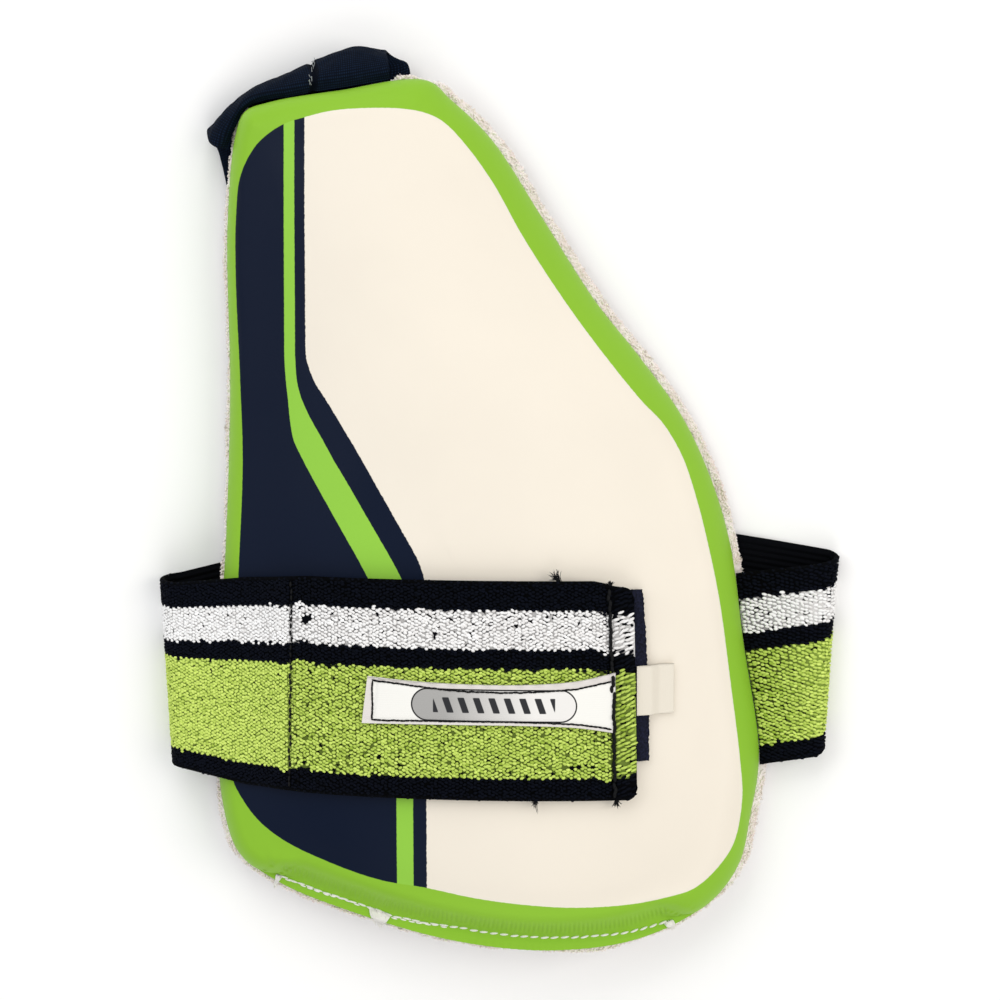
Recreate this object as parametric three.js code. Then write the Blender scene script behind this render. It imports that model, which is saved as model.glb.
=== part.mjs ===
import * as THREE from "three";

// Inner thigh pad lying on its back: X across the pad, Y up its length, Z out of its face. Millimetres.

// Soft walls, one thickness each.
const towelDepth = 2.4;
const strapDepth = 2.4;
const patchDepth = 1.5;
const loopDepth = 1.6;
const labelDepth = 1.0;
const seat = 0.35; // gap that every piece keeps from the one it lies on

// Foam pad: depth at the edge, gain over the rolled edge, and the slow gain toward the middle.
const edgeDepth = 3;
const rollDepth = 10;
const crownDepth = 6;
const crownReach = 48;
const rollMid = 10; // width of the rolled edge, and how much more it is on the right than on the left
const rollSide = 3.5;
const lipWidth = 4.5; // flat sewn lip along the bottom edge, and the softer roll behind it
const lipRoll = 11;
const rimHeight = strapDepth + seat; // the pad's rim lies on the strap that runs under it

// Towelling shows outside the cover's edge, more on the right and at the lower left corner, and is
// tucked in under the belt loop.
const flangeMid = 2.3;
const flangeSide = 1.1;
const flangeTuck = 2;
const flangeCorner = 1.8;

const padCentre = new THREE.Vector2(-15, -20);

// Edge of the printed cover, clockwise from the top right corner.
const padEdge = [
  { x: -25, y: 144.3 },
  { x: -17, y: 138 },
  { x: -3, y: 124.5 },
  { x: 15, y: 97 },
  { x: 33, y: 69 },
  { x: 49, y: 49 },
  { x: 64, y: 28 },
  { x: 74, y: 6.5 },
  { x: 80.5, y: -15 },
  { x: 85.5, y: -50 },
  { x: 91.5, y: -91 },
  { x: 88.5, y: -112 },
  { x: 84.5, y: -129 },
  { x: 74, y: -142 },
  { x: 50, y: -153 },
  { x: 19, y: -156.3 },
  { x: -14, y: -153 },
  { x: -50, y: -144 },
  { x: -79, y: -134 },
  { x: -92, y: -125 },
  { x: -97.5, y: -110 },
  { x: -100, y: -75 },
  { x: -96, y: -15 },
  { x: -94, y: 40 },
  { x: -94.3, y: 95 },
  { x: -91, y: 126 },
  { x: -87.5, y: 134 },
  { x: -79, y: 137 },
  { x: -55, y: 140.7 },
];

// Arch of the back across the thigh, a row per height: middle line, half span and rise of the arch.
const arch = [
  { y: -157, mid: -4, half: 97, rise: 20 },
  { y: -100, mid: -4, half: 97, rise: 20 },
  { y: -30, mid: -6, half: 94, rise: 19 },
  { y: 30, mid: -16, half: 82, rise: 17 },
  { y: 70, mid: -30, half: 70, rise: 15 },
  { y: 105, mid: -41, half: 60, rise: 13.5 },
  { y: 147, mid: -52, half: 52, rise: 13 },
];

// Belt loop, a row per station from its left mouth to its right one: the pad's edge where the front layer
// starts, the outer fold, where the rear layer passes behind the edge, the line on the back where it is
// sewn, and how far the front layer bows out of the mouth.
const loopRows = [
  { edge: [-93.2, 120.6], fold: [-101, 126.8], back: [-96.6, 120.4], rear: [-93, 107.5], bow: 2.2 },
  { edge: [-91.2, 127], fold: [-96.4, 131.9], back: [-92, 126.6], rear: [-88, 107.5], bow: 0.4 },
  { edge: [-86, 135], fold: [-87, 139.4], back: [-86, 135.4], rear: [-81, 108], bow: 0 },
  { edge: [-70.5, 138.3], fold: [-70.5, 147.3], back: [-70.5, 138.9], rear: [-66, 110], bow: 0 },
  { edge: [-53, 141], fold: [-49.5, 154.9], back: [-51.5, 142], rear: [-49, 112.5], bow: 0 },
  { edge: [-37.4, 143.6], fold: [-39.8, 153.8], back: [-33, 150.2], rear: [-30.6, 115], bow: -0.4 },
];
const loopLift = 3.2; // how far the front layer bulges over a straight run
const loopFollow = 0.55; // share of the arch that the slack rear layer follows
const loopGutter = 1.4; // start of the front layer outside the cover's edge

// Thigh strap: place of its folds, and its line, width and lean (x per y) at each place.
const leaveX = -88; // where it leaves the pad's left shoulder
const leftFold = { x: -110, radius: 7, tilt: THREE.MathUtils.degToRad(23) };
const rightFold = { x: 111.8, radius: 4.6 };
const endCorner = 3.5; // radius of the two corners at its end
const rearBow = 15.5; // the slack run under the pad bows toward the top
const strapSwell = 2.2; // its upper edge swells between its sewn end and the pad's shoulder
const strapPlaces = {
  end: { x: 46, y: -63.6, width: 73, lean: -0.02 },
  leave: { x: leaveX, y: -61.8, width: 72.3, lean: 0.0 },
  left: { x: leftFold.x, y: -61.6, width: 65.6, lean: -0.03 },
  rearLeft: { x: leftFold.x, y: -59.6, width: 65.6, lean: -0.1 },
  rearRight: { x: rightFold.x, y: -51.5, width: 65.6, lean: 0.14 },
  right: { x: rightFold.x, y: -57, width: 68.4, lean: 0.0 },
  sewn: { x: 88, y: -60.3, width: 68, lean: -0.12 },
};

const patch = { left: -70, right: 50.2, low: -87.2, high: -28.5 };
const tag = { left: 46.6, right: 59.7, low: -71.4, high: -54.3 };

// Label on the strap, a row per station along it: it is drawn in at its middle.
const labelRows = [
  { x: -46.3, low: -73, high: -57 },
  { x: -20, low: -73, high: -58.8 },
  { x: 8, low: -73.4, high: -59.4 },
  { x: 26, low: -74.4, high: -58.4 },
  { x: 39, low: -76.5, high: -55.8 },
];

const colours = {
  cover: 0xf1eee8,
  towel: 0xefe8dc,
  webbing: 0x121a2a,
  elastic: 0x9fc653,
  hook: 0x10131f,
  satin: 0xf4f3f0,
};

const smooth = (from, to, value) => THREE.MathUtils.smoothstep(value, from, to);
const mix = THREE.MathUtils.lerp;

// Value of one column of a table at a place, straight from row to row.
function tableAt(rows, column, place, key = "y") {
  const last = rows.length - 1;
  if (place <= rows[0][key]) {
    return rows[0][column];
  }
  if (place >= rows[last][key]) {
    return rows[last][column];
  }
  const next = rows.findIndex((row) => row[key] > place);
  const part = (place - rows[next - 1][key]) / (rows[next][key] - rows[next - 1][key]);
  return mix(rows[next - 1][column], rows[next][column], part);
}

// Height of the towelling's underside, an arch across the thigh.
function backAt(x, y) {
  const away = (x - tableAt(arch, "mid", y)) / tableAt(arch, "half", y);
  return rimHeight + tableAt(arch, "rise", y) * Math.max(0, 1 - away * away);
}

const edgeCurve = new THREE.CatmullRomCurve3(
  padEdge.map((p) => new THREE.Vector3(p.x, p.y, 0)),
  true,
  "centripetal",
);
edgeCurve.arcLengthDivisions = 2000;

// Points spaced evenly along the cover's edge, each with its outward normal.
function edgeSamples(count) {
  const samples = [];
  for (let i = 0; i < count; i += 1) {
    const p = edgeCurve.getPointAt(i / count);
    const t = edgeCurve.getTangentAt(i / count);
    samples.push({ x: p.x, y: p.y, nx: -t.y, ny: t.x });
  }
  const outside = Math.sign(samples[0].nx * (samples[0].x - padCentre.x)
    + samples[0].ny * (samples[0].y - padCentre.y));
  return samples.map((s) => ({ ...s, nx: s.nx * outside, ny: s.ny * outside }));
}

const fineEdge = edgeSamples(360);

// Nearest place on the cover's edge, on the straight piece between two of its points.
function nearestEdge(x, y) {
  let best = { reach: Infinity, nx: 0, ny: 0 };
  for (let i = 0; i < fineEdge.length; i += 1) {
    const from = fineEdge[i];
    const to = fineEdge[(i + 1) % fineEdge.length];
    const runX = to.x - from.x;
    const runY = to.y - from.y;
    const along = ((x - from.x) * runX + (y - from.y) * runY) / (runX * runX + runY * runY);
    const part = Math.min(1, Math.max(0, along));
    const reach = Math.hypot(x - from.x - part * runX, y - from.y - part * runY);
    if (reach < best.reach) {
      best = { reach, nx: mix(from.nx, to.nx, part), ny: mix(from.ny, to.ny, part) };
    }
  }
  return best;
}

const coverBase = (x, y) => backAt(x, y) + towelDepth + seat;

// Height of the printed face: edge, a quarter-ellipse roll (an S past the lip), then a slow crown.
function faceAt(x, y) {
  const { reach, nx, ny } = nearestEdge(x, y);
  const lip = smooth(0.78, 0.96, -ny);
  const roll = mix(rollMid + rollSide * nx, lipRoll, lip);
  const q = THREE.MathUtils.clamp((reach - lip * lipWidth) / roll, 0, 1);
  const rolled = rollDepth * mix(Math.sqrt(1 - (1 - q) * (1 - q)), smooth(-0.15, 1, q), lip);
  return coverBase(x, y) + edgeDepth + rolled + crownDepth * smooth(0, crownReach, reach);
}

function meshOf(name, positions, indices, colour, roughness) {
  const geometry = new THREE.BufferGeometry();
  geometry.setAttribute("position", new THREE.Float32BufferAttribute(positions, 3));
  geometry.setIndex(indices);
  geometry.computeVertexNormals();
  const material = new THREE.MeshStandardMaterial({ color: colour, roughness, metalness: 0 });
  const mesh = new THREE.Mesh(geometry, material);
  mesh.name = name;
  return mesh;
}

// Closed body from a top pole, rings from the top out round the rim and in again, and a bottom pole.
function ringBody(name, topPole, rings, lowPole, colour, roughness) {
  const count = rings[0].length;
  const positions = [...topPole, ...rings.flat(2), ...lowPole];
  const low = 1 + rings.length * count;
  const at = (ring, i) => 1 + ring * count + (i % count);
  const indices = [];
  for (let i = 0; i < count; i += 1) {
    indices.push(0, at(0, i + 1), at(0, i));
    for (let ring = 0; ring + 1 < rings.length; ring += 1) {
      indices.push(at(ring, i), at(ring, i + 1), at(ring + 1, i + 1));
      indices.push(at(ring, i), at(ring + 1, i + 1), at(ring + 1, i));
    }
    indices.push(low, at(rings.length - 1, i), at(rings.length - 1, i + 1));
  }
  return meshOf(name, positions, indices, colour, roughness);
}

// Closed body of even depth about a grid of points (rows along, columns across).
function sheetBody(name, grid, depth, colour, roughness) {
  const rows = grid.length;
  const columns = grid[0].length;
  const upper = [];
  const lower = [];
  for (let i = 0; i < rows; i += 1) {
    for (let j = 0; j < columns; j += 1) {
      const along = grid[Math.min(i + 1, rows - 1)][j].clone().sub(grid[Math.max(i - 1, 0)][j]);
      const across = grid[i][Math.min(j + 1, columns - 1)].clone().sub(grid[i][Math.max(j - 1, 0)]);
      const normal = along.cross(across).normalize().multiplyScalar(depth / 2);
      upper.push(...grid[i][j].clone().add(normal).toArray());
      lower.push(...grid[i][j].clone().sub(normal).toArray());
    }
  }
  const up = (i, j) => i * columns + j;
  const down = (i, j) => rows * columns + i * columns + j;
  const indices = [];
  const quad = (a, b, c, d) => indices.push(a, b, c, a, c, d);
  for (let i = 0; i + 1 < rows; i += 1) {
    for (let j = 0; j + 1 < columns; j += 1) {
      quad(up(i, j), up(i + 1, j), up(i + 1, j + 1), up(i, j + 1));
      quad(down(i, j), down(i, j + 1), down(i + 1, j + 1), down(i + 1, j));
    }
    quad(up(i, 0), down(i, 0), down(i + 1, 0), up(i + 1, 0));
    quad(up(i, columns - 1), up(i + 1, columns - 1), down(i + 1, columns - 1), down(i, columns - 1));
  }
  for (let j = 0; j + 1 < columns; j += 1) {
    quad(up(0, j), up(0, j + 1), down(0, j + 1), down(0, j));
    quad(up(rows - 1, j), down(rows - 1, j), down(rows - 1, j + 1), up(rows - 1, j + 1));
  }
  return meshOf(name, [...upper, ...lower], indices, colour, roughness);
}

// Ring of an outline drawn in toward the pad's centre, with heights from a function of place.
function ringOf(outline, share, height) {
  return outline.map((s) => {
    const x = mix(padCentre.x, s.x, share);
    const y = mix(padCentre.y, s.y, share);
    return [x, y, height(x, y)];
  });
}

// The outline moved in square to itself, along lines that run to the pad's centre.
function insetEdge(outline, depth) {
  return outline.map((s) => {
    const inward = new THREE.Vector2(padCentre.x - s.x, padCentre.y - s.y).normalize();
    const square = Math.max(0.6, -(inward.x * s.nx + inward.y * s.ny));
    return { x: s.x + (inward.x * depth) / square, y: s.y + (inward.y * depth) / square };
  });
}

const rimCount = 96;
const coverEdge = edgeSamples(rimCount);

function frontShell() {
  const faceShares = [0.25, 0.5, 0.72, 0.88];
  const faceDepths = [18, 14, 10.5, 7.8, 5.6, 3.8, 2.2, 1, 0.3, 0];
  const backShares = [1, 0.96, 0.86, 0.7, 0.45, 0.2];
  const rings = [
    ...faceShares.map((share) => ringOf(insetEdge(coverEdge, faceDepths[0]), share, faceAt)),
    ...faceDepths.map((depth) => ringOf(insetEdge(coverEdge, depth), 1, faceAt)),
    ...backShares.map((share) => ringOf(coverEdge, share, coverBase)),
  ];
  const { x, y } = padCentre;
  const top = [x, y, faceAt(x, y)];
  return ringBody("front_shell", top, rings, [x, y, coverBase(x, y)], colours.cover, 0.45);
}

// Towelling outline: the cover's edge moved out by a flange that is widest on the right.
function towelEdge(count) {
  return edgeSamples(count).map((s) => {
    const corner = flangeCorner * smooth(0.7, 1, -(s.nx + s.ny) * Math.SQRT1_2);
    const tuck = flangeTuck * smooth(0.75, 0.95, s.ny);
    const flange = flangeMid + flangeSide * s.nx + corner - tuck;
    return { x: s.x + s.nx * flange, y: s.y + s.ny * flange };
  });
}

function towelBacking() {
  const outline = towelEdge(rimCount);
  const shares = [0.2, 0.45, 0.7, 0.86, 0.96, 1];
  const topAt = (x, y) => backAt(x, y) + towelDepth;
  const rings = [
    ...shares.map((share) => ringOf(outline, share, topAt)),
    ...[...shares].reverse().map((share) => ringOf(outline, share, backAt)),
  ];
  const { x, y } = padCentre;
  return ringBody("towel_backing", [x, y, topAt(x, y)], rings, [x, y, backAt(x, y)], colours.towel, 0.95);
}

// One section of the belt loop as control points: front layer, outer fold, rear layer.
function loopSection(row) {
  const places = [row.edge, row.fold, row.back, row.rear];
  const [edge, fold, back, rear] = places.map(([x, y]) => new THREE.Vector3(x, y, 0));
  const out = fold.clone().sub(edge);
  const aside = new THREE.Vector3(-out.y, out.x, 0).normalize();
  const gutter = loopGutter / out.length();
  const rimTop = backAt(edge.x, edge.y) + towelDepth + seat + edgeDepth * 0.6;
  const slack = (p) => loopDepth / 2 + loopFollow * (backAt(p.x, p.y) - rimHeight);
  const front = (share, lift) => {
    const p = edge.clone().addScaledVector(out, mix(gutter, 1, share));
    p.addScaledVector(aside, row.bow * Math.sin(Math.PI * share));
    p.z = mix(rimTop, slack(p) + 3.4, share * share) + lift * loopLift;
    return p;
  };
  const under = (share, lift) => {
    const p = fold.clone().lerp(back, share);
    p.z = slack(p) + lift;
    return p;
  };
  const behind = (share, tight) => {
    const p = back.clone().lerp(rear, share);
    p.z = mix(slack(p), backAt(p.x, p.y) - seat - loopDepth / 2, tight);
    return p;
  };
  return [
    front(0, 0), front(0.3, 0.7), front(0.62, 0.8), front(0.88, 0.55), front(1, 0),
    under(0.07, 1.1), under(0.2, 0.1), under(0.5, 0), under(0.9, 0),
    behind(0.3, 0), behind(0.6, 0.1), behind(0.85, 0.6), behind(1, 0.96),
  ];
}

function beltLoop() {
  const sections = loopRows.map((row) => new THREE.CatmullRomCurve3(loopSection(row), false, "centripetal"));
  const around = 24;
  const along = 16;
  const grid = [];
  for (let j = 0; j <= around; j += 1) {
    const places = sections.map((section) => section.getPoint(j / around));
    grid.push(new THREE.CatmullRomCurve3(places, false, "centripetal").getPoints(along));
  }
  for (const p of grid.flat()) {
    p.z = Math.max(p.z, loopDepth / 2);
  }
  return sheetBody("belt_loop", grid, loopDepth, colours.webbing, 0.85);
}

// Right edge of the cover at a height.
function rightEdgeAt(y) {
  let best = fineEdge[0];
  for (const s of fineEdge) {
    if (s.nx > 0.5 && Math.abs(s.y - y) < Math.abs(best.y - y)) {
      best = s;
    }
  }
  return best.x;
}

const patchLift = (x) => (patchDepth + seat) * smooth(patch.left - 14, patch.left - 3, x);

// Height of the strap's middle where it lies on the face, level across its width.
function strapOver(x) {
  const place = mix(0, 1, (strapPlaces.end.x - x) / (strapPlaces.end.x - leaveX));
  const y = mix(strapPlaces.end.y, strapPlaces.leave.y, place);
  const width = mix(strapPlaces.end.width, strapPlaces.leave.width, place);
  const highest = (at) => {
    const heights = [-0.5, -0.25, 0, 0.25, 0.5].map((w) => faceAt(at, y + w * width));
    return Math.max(...heights);
  };
  const slope = (highest(x + 1) - highest(x - 1)) / 2;
  return highest(x) + patchLift(x) + (seat + strapDepth / 2) * Math.hypot(1, slope);
}

// Strap line from its end on the face, round the left fold, under the pad, round the right fold, to the seam.
function strapStations() {
  const stations = [];
  const add = (from, to, part, x, z, bow = 0) => {
    const at = (key) => mix(strapPlaces[from][key], strapPlaces[to][key], part);
    const sewn = to === "sewn" ? part : 0;
    stations.push({ x, z, y: at("y") + bow, width: at("width"), lean: at("lean"), sewn });
  };
  const overSteps = 22;
  const overRun = strapPlaces.end.x - leaveX;
  for (const turn of [0, Math.PI / 6, Math.PI / 3]) {
    const inFrom = endCorner * (1 - Math.cos(turn));
    const x = strapPlaces.end.x - inFrom;
    add("end", "leave", inFrom / overRun, x, strapOver(x));
    stations[stations.length - 1].width -= 2 * endCorner * (1 - Math.sin(turn));
  }
  for (let i = 0; i <= overSteps; i += 1) {
    const part = mix(endCorner / overRun, 1, Math.sin((i / overSteps) * Math.PI / 2));
    const x = mix(strapPlaces.end.x, leaveX, part);
    add("end", "leave", part, x, strapOver(x));
    const swell = strapSwell * smooth(-92, -62, x) * (1 - smooth(32, 42, x));
    stations[stations.length - 1].y += swell / 2;
    stations[stations.length - 1].width += swell;
  }
  const onFold = (angle) => ({
    x: leftFold.x + leftFold.radius * Math.cos(angle),
    z: strapDepth / 2 + leftFold.radius * (1 + Math.sin(angle)),
  });
  const foldStart = Math.PI / 2 + leftFold.tilt;
  const shoulder = strapOver(leaveX);
  const landing = onFold(foldStart);
  for (const part of [0.25, 0.5, 0.75]) {
    add("leave", "left", part, mix(leaveX, landing.x, part), mix(shoulder, landing.z, part));
  }
  for (let i = 0; i <= 12; i += 1) {
    const spot = onFold(mix(foldStart, Math.PI * 1.5, i / 12));
    add("left", "rearLeft", i / 12, spot.x, spot.z);
  }
  for (let i = 1; i <= 14; i += 1) {
    const part = i / 15;
    add("rearLeft", "rearRight", part, mix(leftFold.x, rightFold.x, part), strapDepth / 2,
      rearBow * Math.sin(Math.PI * part));
  }
  for (let i = 0; i <= 10; i += 1) {
    const angle = (i / 10) * Math.PI;
    const x = rightFold.x + rightFold.radius * Math.sin(angle);
    add("rearRight", "right", i / 10, x, strapDepth / 2 + rightFold.radius * (1 - Math.cos(angle)));
  }
  const sewnAt = strapPlaces.sewn;
  const rimUnder = [-0.5, 0, 0.5].map((w) => backAt(sewnAt.x - 1, sewnAt.y + w * sewnAt.width));
  const seamZ = Math.max(...rimUnder) + towelDepth + seat + strapDepth / 2;
  const runZ = strapDepth / 2 + 2 * rightFold.radius;
  for (const part of [0.2, 0.4, 0.6, 0.8, 1]) {
    const z = mix(runZ, seamZ, part * part * (3 - 2 * part));
    add("right", "sewn", part, mix(rightFold.x, strapPlaces.sewn.x, part), z);
  }
  return stations;
}

function thighStrap() {
  const across = 8;
  const grid = strapStations().map((s) => {
    const row = [];
    for (let k = 0; k <= across; k += 1) {
      const w = (k / across - 0.5) * s.width;
      const y = s.y + w;
      const plain = s.x + s.lean * w;
      const sewnX = mix(rightFold.x, rightEdgeAt(y) + seat, s.sewn);
      row.push(new THREE.Vector3(s.sewn > 0 ? sewnX : plain, y, s.z));
    }
    return row;
  });
  return sheetBody("thigh_strap", grid.reverse(), strapDepth, colours.elastic, 0.95);
}

// Thin plate between two edges that are functions of x, its middle at a height given by a function of place.
function plate(name, box, depth, height, steps, colour, roughness) {
  const grid = [];
  for (let i = 0; i <= steps.x; i += 1) {
    const row = [];
    const x = mix(box.left, box.right, i / steps.x);
    for (let j = 0; j <= steps.y; j += 1) {
      const y = mix(box.low(x), box.high(x), j / steps.y);
      row.push(new THREE.Vector3(x, y, height(x, y)));
    }
    grid.push(row);
  }
  return sheetBody(name, grid, depth, colour, roughness);
}

const straight = (box) => ({ ...box, low: () => box.low, high: () => box.high });

function fastenerPatch() {
  const height = (x, y) => faceAt(x, y) + seat + patchDepth / 2;
  return plate("fastener_patch", straight(patch), patchDepth, height, { x: 24, y: 8 }, colours.hook, 0.95);
}

function strapLabel() {
  const height = (x) => strapOver(x) + strapDepth / 2 + seat + labelDepth / 2;
  const label = {
    left: labelRows[0].x,
    right: labelRows[labelRows.length - 1].x,
    low: (x) => tableAt(labelRows, "low", x, "x"),
    high: (x) => tableAt(labelRows, "high", x, "x"),
  };
  return plate("strap_label", label, labelDepth, height, { x: 20, y: 2 }, colours.satin, 0.5);
}

function sizeTag() {
  const height = (x, y) => {
    const onPatch = 1 - smooth(patch.right + 1, patch.right + 4.5, x);
    return faceAt(x, y) + seat + labelDepth / 2 + (patchDepth + seat) * onPatch;
  };
  return plate("size_tag", straight(tag), labelDepth, height, { x: 8, y: 3 }, colours.satin, 0.5);
}

const group = new THREE.Group();
group.name = "inner_thigh_pad";
group.add(frontShell());
group.add(towelBacking());
group.add(beltLoop());
group.add(thighStrap());
group.add(fastenerPatch());
group.add(strapLabel());
group.add(sizeTag());

// Origin under the middle of the whole, at floor level.
const whole = new THREE.Box3().setFromObject(group);
const middle = whole.getCenter(new THREE.Vector3());
for (const mesh of group.children) {
  mesh.geometry.translate(-middle.x, -middle.y, -whole.min.z);
}

export default group;
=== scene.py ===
import functools
import math
import bpy
import numpy as np
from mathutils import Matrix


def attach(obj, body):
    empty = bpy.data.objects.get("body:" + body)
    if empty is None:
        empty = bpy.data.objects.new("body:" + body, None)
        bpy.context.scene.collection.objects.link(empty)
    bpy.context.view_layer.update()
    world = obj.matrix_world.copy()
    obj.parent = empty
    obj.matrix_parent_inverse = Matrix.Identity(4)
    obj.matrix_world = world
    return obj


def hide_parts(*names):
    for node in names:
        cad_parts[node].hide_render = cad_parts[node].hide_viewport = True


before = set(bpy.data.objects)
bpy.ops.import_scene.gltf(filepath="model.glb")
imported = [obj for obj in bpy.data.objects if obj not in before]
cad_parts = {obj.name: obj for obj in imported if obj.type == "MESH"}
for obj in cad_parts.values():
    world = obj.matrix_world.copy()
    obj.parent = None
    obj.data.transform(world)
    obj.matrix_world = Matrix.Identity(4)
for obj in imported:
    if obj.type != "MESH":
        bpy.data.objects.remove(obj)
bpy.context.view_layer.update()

scene = bpy.context.scene
print("frame loaded:", ", ".join(sorted(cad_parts)))

# All shapes are worked out in the pad's own millimetres and moved to the frame's metres at the end.
mm = 0.001
frameShift = np.array([0.01, 1.43, 0.0])
walls = dict(towel=2.4, strap=2.4, patch=1.5, loop=1.6, label=1.0, seat=0.35)
rng = np.random.default_rng(17)


# Straight blend: a at 0, b at 1.
def mix(a, b, part):
    return a + (b - a) * part


# Smooth step: 0 up to low, 1 from high, a cubic with level ends between.
def smooth(low, high, value):
    part = np.clip((np.asarray(value, float) - low) / (high - low), 0, 1)
    return part * part * (3 - 2 * part)


# Window: up between the two values of rise, down again between the two of fall.
def window(rise, fall, value):
    return smooth(*rise, value) * smooth(*fall, value)


# Bell curve: 1 at 0, nearly nothing from 2 on.
def bell(value):
    return np.exp(-np.square(value))


# Weights of a bell curve over whole steps each way; they add up to 1.
def bellWeights(steps, spread):
    weights = np.exp(-0.5 * (np.arange(-steps, steps + 1) / spread) ** 2)
    return weights / weights.sum()


# Vectors divided by their own lengths.
def unit(vectors):
    return vectors / np.linalg.norm(vectors, axis=-1, keepdims=True)


# The x and the y of places, as two arrays.
def xy(places):
    return places[..., 0], places[..., 1]


# Length walked along a line of points, up to each of them.
def walked(line):
    return np.concatenate([[0], np.cumsum(np.linalg.norm(np.diff(line, axis=0), axis=1))])


# Curve through rows of points: a cubic on each span, its end slopes weighted by the square roots of the span
# lengths. spots counts spans from the first point; points may hold many curves at once (curve, point, coordinate).
def curveThrough(points, spots, closed=False):
    points = np.asarray(points, float)
    if closed:
        ends = [points[..., -1:, :], points, points[..., :2, :]]
    else:
        first = 2 * points[..., :1, :] - points[..., 1:2, :]
        final = 2 * points[..., -1:, :] - points[..., -2:-1, :]
        ends = [first, points, final]
    padded = np.concatenate(ends, axis=-2)
    span = np.sqrt(np.linalg.norm(np.diff(padded, axis=-2), axis=-1, keepdims=True))
    index = np.clip(np.floor(spots).astype(int), 0, padded.shape[-2] - 4)
    t = (spots - index)[:, None]
    p0, p1, p2, p3 = (padded[..., index + k, :] for k in range(4))
    d0, d1, d2 = (span[..., index + k, :] for k in range(3))
    slope1 = ((p1 - p0) / d0 - (p2 - p0) / (d0 + d1) + (p2 - p1) / d1) * d1
    slope2 = ((p2 - p1) / d1 - (p3 - p1) / (d1 + d2) + (p3 - p2) / d2) * d1
    hold1, hold2 = 2 * t**3 - 3 * t**2 + 1, 3 * t**2 - 2 * t**3
    return hold1 * p1 + hold2 * p2 + (t**3 - 2 * t**2 + t) * slope1 + (t**3 - t**2) * slope2


# The same curve cut into count even steps of its own length.
def evenCurve(points, count, closed=False):
    spans = len(points) if closed else len(points) - 1
    fine = curveThrough(points, np.linspace(0, spans, spans * 60 + 1), closed)
    run = walked(fine)
    at = np.linspace(0, run[-1], count + 1)[: count if closed else count + 1]
    return np.stack([np.interp(at, run, fine[:, k]) for k in range(fine.shape[1])], axis=1)


# Outward normals of a closed outline that runs clockwise: the tangent turned a quarter to the left.
def outlineNormals(outline):
    along = unit(np.roll(outline, -1, axis=0) - np.roll(outline, 1, axis=0))
    return np.stack([-along[:, 1], along[:, 0]], axis=1)


# Points in lots that fit the memory.
def lots(points, size=2500):
    return np.array_split(points, max(1, len(points) // size))


# Nearest place on a line of straight pieces: distance, index of the piece and share along it.
def nearestOn(points, line, closed=True):
    starts = line if closed else line[:-1]
    runs = (np.roll(line, -1, axis=0) if closed else line[1:]) - starts
    square = (runs**2).sum(axis=1)
    found = []
    for part in lots(points):
        gap = part[:, None] - starts[None]
        share = np.clip((gap * runs).sum(axis=2) / square, 0, 1)
        away = gap - share[..., None] * runs
        far = np.sqrt((away**2).sum(axis=2))
        best = far.argmin(axis=1)
        rows = np.arange(len(part))
        found.append(np.stack([far[rows, best], best, share[rows, best]], axis=1))
    found = np.concatenate(found)
    return found[:, 0], found[:, 1].astype(int), found[:, 2]


# Signed distance to a closed outline, positive inside, from where a level ray crosses the outline an odd number
# of times.
def insideBy(points, outline):
    reach = nearestOn(points, outline)[0]
    after = np.roll(outline, -1, axis=0)
    odd = []
    for part in lots(points):
        x, y = part[:, 0, None], part[:, 1, None]
        over = (outline[:, 1] > y) != (after[:, 1] > y)
        rise = np.where(after[:, 1] == outline[:, 1], 1e-9, after[:, 1] - outline[:, 1])
        cross = outline[:, 0] + (y - outline[:, 1]) / rise * (after[:, 0] - outline[:, 0])
        odd.append((over & (x < cross)).sum(axis=1) % 2)
    return np.where(np.concatenate(odd) == 1, reach, -reach)


# Slow unevenness of hand-made cloth: three crossed sine waves of one length, between about -1 and 1.
def ripple(x, y, length, seed=0.0):
    k = 2 * math.pi / length
    a = np.sin(k * (0.83 * x + 0.56 * y) + seed)
    b = np.sin(k * (0.31 * x - 0.95 * y) * 1.31 + 2.1 * seed + 1.0)
    c = np.sin(k * (-0.72 * x + 0.69 * y) * 0.77 + 0.7 * seed + 2.3)
    return (a + b + c) / 3


# Quads of a grid of rows and columns, closed round the columns where it wraps.
def gridQuads(rows, columns, wrap=False, start=0):
    i, j = np.meshgrid(np.arange(rows - 1), np.arange(columns if wrap else columns - 1), indexing="ij")
    a = i * columns + j
    b = i * columns + (j + 1) % columns
    return start + np.stack([a, b, b + columns, a + columns], axis=-1).reshape(-1, 4)


# Triangles that close a ring of corners at one point.
def fan(tip, ring, flip=False):
    corners = [np.full(len(ring), tip), np.roll(ring, -1), ring]
    return np.stack([corners[k] for k in ((0, 2, 1) if flip else (0, 1, 2))], axis=1)


# Closed body from rings of points about the pad's centre: quads between the rings, a fan to a point at each end.
def closedRings(plan, heights, top, low):
    rings, around = heights.shape
    points = np.column_stack([plan.reshape(-1, 2), heights.ravel()])
    turn, count = np.arange(around), len(points)
    fans = np.concatenate([fan(count, turn), fan(count + 1, count - around + turn, flip=True)])
    points = np.concatenate([points, [[*padCentre, top], [*padCentre, low]]])
    return points, [gridQuads(rings, around, wrap=True), fans]


# Normals of a grid of points, from its steps both ways.
def gridNormals(grid):
    return unit(np.cross(np.gradient(grid, axis=0), np.gradient(grid, axis=1)))


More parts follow.
